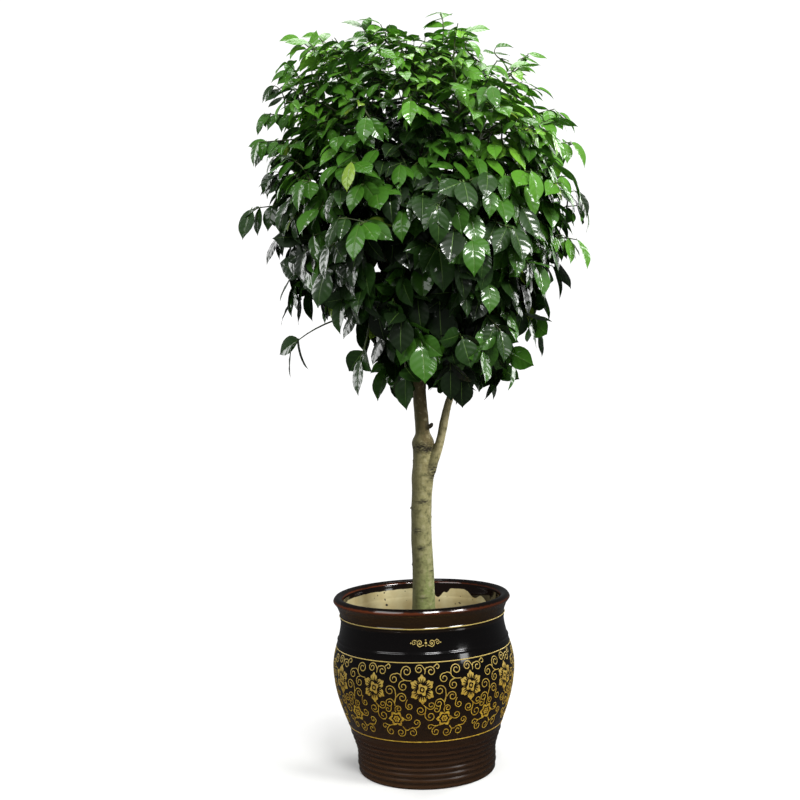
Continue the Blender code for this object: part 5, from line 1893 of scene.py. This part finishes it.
class PLANT_OT_make_soil(bpy.types.Operator):
    """Make the potting mix with loose lumps on its top"""
    bl_idname = "plant.make_soil"
    bl_label = "Potting mix"

    def execute(self, context):
        settings = context.scene.plant_soil
        edge = SOIL_HEIGHT - SOIL_EDGE_DROP
        profile = [(0.0, POT_FLOOR + GAP),
                   (pot_inner_radius(POT_FLOOR) - SOIL_CLEARANCE, POT_FLOOR + GAP)]
        for height in (0.12, POT_BELLY_HEIGHT, edge):
            profile.append((pot_inner_radius(height) - SOIL_CLEARANCE, height))
        rim = profile[-1][0]
        for step in range(1, SOIL_ROWS):
            share = 1 - step / SOIL_ROWS
            profile.append((rim * share, SOIL_HEIGHT - SOIL_EDGE_DROP * share ** 2))
        profile.append((0.0, SOIL_HEIGHT))
        soil = make_object("potting_mix", *lathe(profile, SOIL_SEGMENTS))
        tops = []
        for vertex in soil.data.vertices:
            point = vertex.co
            reach = math.hypot(point.x, point.y)
            top = point.z > edge - 0.001 and reach < rim - 0.004
            tops.append(1.0 if top else 0.0)
            if top:
                uneven = noise.noise(point * 45.0) * 0.0035 + noise.noise(point * 120.0) * 0.0014
                vertex.co.z += uneven * eased(rim - reach, 0.0, 0.02)
        add_layer(soil.data, "top", "FLOAT", tops)
        lumps = bpy.data.collections.new("soil_lumps")
        context.scene.collection.children.link(lumps)
        dice = random.Random(settings.seed)
        for number in range(3):
            shape = bmesh.new()
            bmesh.ops.create_icosphere(shape, subdivisions=1, radius=1.0)
            for vertex in shape.verts:
                vertex.co *= dice.uniform(0.65, 1.25)
                vertex.co.z *= 0.7
            mesh = bpy.data.meshes.new("lump")
            shape.to_mesh(mesh)
            shape.free()
            lumps.objects.link(bpy.data.objects.new("lump_" + str(number), mesh))
        node_modifier(soil, scatter_tree(), {
            "Lumps": lumps, "Density": settings.density, "Smallest": settings.smallest,
            "Largest": settings.largest, "Seed": settings.seed, "Soil": soil_material()})
        plain_result(soil)
        hide_templates(lumps)
        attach(soil, "root")
        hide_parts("soil")
        return {"FINISHED"}


class PLANT_OT_make_bark(bpy.types.Operator):
    """Make the trunk, the second stem and the boughs as one skin of bark with its relief"""
    bl_idname = "plant.make_bark"
    bl_label = "Bark"

    def execute(self, context):
        settings = context.scene.plant_bark
        fine = limb_lines()[0]
        shapes = [tube(line, radii, TRUNK_SIDES if name == "trunk" else BOUGH_SIDES)
                  for name, (line, radii) in fine.items()]
        shapes.append(tube(STUB_LINE, STUB_RADII, STUB_SIDES))
        bark = make_object("bark_of_trunk_and_boughs", *joined(shapes))
        remesh = bark.modifiers.new("skin", "REMESH")
        remesh.mode = "VOXEL"
        remesh.voxel_size = settings.voxel
        remesh.use_smooth_shade = True
        soften = bark.modifiers.new("soft_forks", "SMOOTH")
        soften.factor = 0.5
        soften.iterations = 6
        plain_result(bark)
        self.carve(bark.data, settings.relief)
        bark.data.materials.append(bark_material())
        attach(bark, "root")
        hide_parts(*fine)
        return {"FINISHED"}

    def carve(self, mesh, relief):
        """Raise the bark's unevenness: streaks, ring marks, wrinkled scars and a dead stub, and
        keep where the scars are, and the trunk's left side that takes painted shade, for the
        bark's colour."""
        moved = []
        marks = []
        side_shade = []
        for vertex in mesh.vertices:
            point = vertex.co
            normal = vertex.normal
            move = relief * (0.55 * ripple(point, point.z, 260, 70)
                             + 0.95 * ripple(point, point.z, 60, 26))
            move += 0.0012 * eased(-point.z, -0.46, -0.33)
            mark = 0.0
            if point.z < RINGS_TOP:
                for ring in BARK_RINGS:
                    tilt = 0.010 * ripple(point, ring, 18, 9)
                    line = math.exp(-((point.z - ring - tilt) / RING_MARK_WIDTH) ** 2)
                    move += RING_MARK_RELIEF * line
                    mark += RING_MARK_SHADE * line
            if point.z < SCARS_TOP:
                centre = trunk_centre(point.z)
                angle = math.degrees(math.atan2(point.y - centre.y, point.x - centre.x))
                beside = (point - centre).length > trunk_radius(point.z) + 0.004
                for height, turn, wide, tall in BARK_SCARS:
                    # The scars by the fork belong to the trunk, not to the stem beside it.
                    if beside and height > FORK_SCARS:
                        continue
                    away = math.radians((angle - turn + 180) % 360 - 180) * TRUNK_RADIUS
                    far = math.hypot(away / wide, (point.z - height) / tall)
                    if far < 2.2:
                        strength = math.exp(-1.1 * far * far)
                        wrinkle = ripple(point, point.z, 170, 620)
                        move += strength * (0.0008 + 0.0028 * wrinkle)
                        mark += strength * (0.85 - 1.5 * wrinkle)
            mark += STUB_SHADE * math.exp(-((point - STUB).length / STUB_REACH) ** 2)
            moved.extend(point + normal * move)
            marks.append(min(max(mark, 0.0), DARKEST_SCAR))
            # The side turned away from the lights, below the crown, is darkened as painted shade.
            side_shade.append(eased(-normal.x, -0.45, 0.90) * eased(-point.z, -1.00, -0.85))
        mesh.vertices.foreach_set("co", moved)
        mesh.update()
        add_layer(mesh, "scar", "FLOAT", marks)
        add_layer(mesh, "damp_side", "FLOAT", side_shade)


class PLANT_OT_make_foliage(bpy.types.Operator):
    """Make the twigs and the leaflets of the crown, ring by ring"""
    bl_idname = "plant.make_foliage"
    bl_label = "Twigs and leaves"

    def execute(self, context):
        settings = context.scene.plant_foliage
        values = {name: leaf_material(name, colour) for name, colour in SHADES}
        finish = (values[SHADES[0][0]], rib_material())
        rind = twig_material()
        templates = bpy.data.collections.new("leaflets")
        context.scene.collection.children.link(templates)
        for number, (width, *form) in enumerate(LEAF_FORMS):
            leaf = leaf_template("leaflet_" + str(number), finish, settings.leaf_width * width,
                                 *form)
            context.scene.collection.objects.unlink(leaf)
            templates.objects.link(leaf)
        values.update({"Leaflets": templates, "Leaf length": settings.leaf_length})
        leaflets = foliage_tree()
        twigs = twig_tree()
        for ring, growth in grow_crown(settings).items():
            nodes = [node for node in frame["nodes"] if node.startswith("foliage_" + ring)]
            self.make_leaves(ring, growth, leaflets, values, nodes)
            self.make_twigs(ring, growth, twigs, {"Sides": settings.sides, "Bark": rind}, nodes)
        hide_templates(templates)
        return {"FINISHED"}

    def make_leaves(self, ring, growth, tree, values, nodes):
        """All leaflets of one ring, as one plain mesh in several greens."""
        roots, *columns = zip(*growth.leaves)
        item = make_object("leaves_" + ring, roots, [])
        for (name, kind), column in zip(LEAF_LAYERS, columns):
            add_layer(item.data, name, kind, column)
        node_modifier(item, tree, values)
        plain_result(item)
        for name in [name for name, kind in LEAF_LAYERS] + ["rib"]:
            layer = item.data.attributes.get(name)
            if layer:
                item.data.attributes.remove(layer)
        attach(item, "root")
        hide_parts(*nodes)

    def make_twigs(self, ring, growth, tree, values, nodes):
        """All twigs of one ring, as one plain mesh."""
        vertices = []
        edges = []
        widths = []
        for path, radii in growth.lines:
            shift = len(vertices)
            vertices += path
            widths += radii
            edges += [(shift + i, shift + i + 1) for i in range(len(path) - 1)]
        item = make_object("twigs_" + ring, vertices, [], recalculate=False, edges=edges)
        add_layer(item.data, "radius_here", "FLOAT", widths)
        node_modifier(item, tree, values)
        plain_result(item)
        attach(item, "root")
        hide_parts(*nodes)


class PLANT_OT_make_stage(bpy.types.Operator):
    """Make the pale floor, the soft studio lights and the camera"""
    bl_idname = "plant.make_stage"
    bl_label = "Stage"

    def execute(self, context):
        settings = context.scene.plant_stage
        self.make_floor(settings)
        for name, place, aim, wide, tall, share, spares in LIGHTS:
            self.add_light(name, Vector(place), Vector(aim), wide, tall,
                           settings.key_power * share, spared_pieces() if spares else None)
        self.make_room(context.scene, settings.ambience)
        self.make_camera(context.scene, settings)
        context.scene.view_settings.view_transform = "Standard"
        return {"FINISHED"}

    def make_floor(self, settings):
        """A round floor under the pot, which mirrors don't show."""
        vertices = [(0.0, 0.0, FLOOR_HEIGHT)]
        vertices += [(FLOOR_RADIUS * right, FLOOR_RADIUS * back, FLOOR_HEIGHT)
                     for right, back in around(FLOOR_SEGMENTS)]
        faces = [(0, 1 + step, 1 + (step + 1) % FLOOR_SEGMENTS)
                 for step in range(FLOOR_SEGMENTS)]
        floor = make_object("studio_floor", vertices, faces,
                            (floor_material(settings.floor_colour),), recalculate=False)
        floor.visible_glossy = False

    def add_light(self, name, place, aim, wide, tall, power, spared):
        """One rectangular soft light, turned to what it lights. It leaves out what is spared."""
        light = bpy.data.lights.new(name, "AREA")
        light.shape = "RECTANGLE"
        light.size = wide
        light.size_y = tall
        light.energy = power
        item = bpy.data.objects.new(name, light)
        bpy.context.scene.collection.objects.link(item)
        item.light_linking.receiver_collection = spared
        item.location = place
        item.rotation_euler = (aim - place).to_track_quat("-Z", "Y").to_euler()

    def make_room(self, scene, ambience):
        """The room's even light, and the white backdrop that the camera sees."""
        world = bpy.data.worlds.new("studio")
        scene.world = world
        world.use_nodes = True
        tree = world.node_tree
        tree.nodes.clear()
        seen = add_node(tree, "ShaderNodeLightPath").outputs
        # The room is dim where a glossy surface mirrors it.
        level = maths(tree, "MULTIPLY_ADD", seen["Is Glossy Ray"], -0.75 * ambience, ambience)
        room = add_node(tree, "ShaderNodeBackground", None,
                        {"Color": (0.96, 0.98, 1.0, 1.0), "Strength": level})
        backdrop = add_node(tree, "ShaderNodeBackground", None,
                            {"Color": (1.0, 1.0, 1.0, 1.0), "Strength": 1.1})
        either = add_node(tree, "ShaderNodeMixShader", None, {
            0: seen["Is Camera Ray"], 1: room.outputs[0], 2: backdrop.outputs[0]})
        add_node(tree, "ShaderNodeOutputWorld", None, {"Surface": either.outputs[0]})

    def make_camera(self, scene, settings):
        """A level camera before the plant."""
        lens = bpy.data.cameras.new("camera")
        lens.lens = settings.focal_length
        lens.sensor_width = 36.0
        lens.clip_start = 0.05
        lens.clip_end = 100.0
        camera = bpy.data.objects.new("camera", lens)
        scene.collection.objects.link(camera)
        camera.location = (settings.aside, -settings.distance, settings.height)
        camera.rotation_euler = (math.radians(90.0), settings.roll, 0.0)
        scene.camera = camera


class PLANT_PT_panel(bpy.types.Panel):
    """Lists the pieces and their settings in the sidebar"""
    bl_label = "Potted plant"
    bl_idname = "PLANT_PT_panel"
    bl_space_type = "VIEW_3D"
    bl_region_type = "UI"
    bl_category = "Plant"

    def draw(self, context):
        layout = self.layout
        for title, owner, kind, operators in PANEL_ROWS:
            box = layout.box()
            box.label(text=title)
            settings = getattr(context.scene, owner)
            for name in kind.__annotations__:
                box.prop(settings, name)
            for operator in operators:
                box.operator(operator)


PANEL_ROWS = (
    ("Pot", "plant_pot", PotSettings, ("plant.make_pot", "plant.make_scrollwork")),
    ("Potting mix", "plant_soil", SoilSettings, ("plant.make_soil",)),
    ("Bark", "plant_bark", BarkSettings, ("plant.make_bark",)),
    ("Foliage", "plant_foliage", FoliageSettings, ("plant.make_foliage",)),
    ("Stage", "plant_stage", StageSettings, ("plant.make_stage",)),
)
CLASSES = (PotSettings, SoilSettings, BarkSettings, FoliageSettings, StageSettings,
           PLANT_OT_make_pot, PLANT_OT_make_scrollwork, PLANT_OT_make_soil, PLANT_OT_make_bark,
           PLANT_OT_make_foliage, PLANT_OT_make_stage, PLANT_PT_panel)


def register():
    """Register the classes and give the scene its settings."""
    for item in CLASSES:
        bpy.utils.register_class(item)
    for title, owner, kind, operators in PANEL_ROWS:
        setattr(bpy.types.Scene, owner, PointerProperty(type=kind))


def unregister():
    """Take the settings and the classes away again."""
    for title, owner, kind, operators in PANEL_ROWS:
        delattr(bpy.types.Scene, owner)
    for item in reversed(CLASSES):
        bpy.utils.unregister_class(item)


def main():
    """Make every piece in order."""
    register()
    bpy.ops.plant.make_stage()
    bpy.ops.plant.make_pot()
    bpy.ops.plant.make_scrollwork()
    bpy.ops.plant.make_soil()
    bpy.ops.plant.make_bark()
    bpy.ops.plant.make_foliage()


if __name__ == "__main__":
    main()
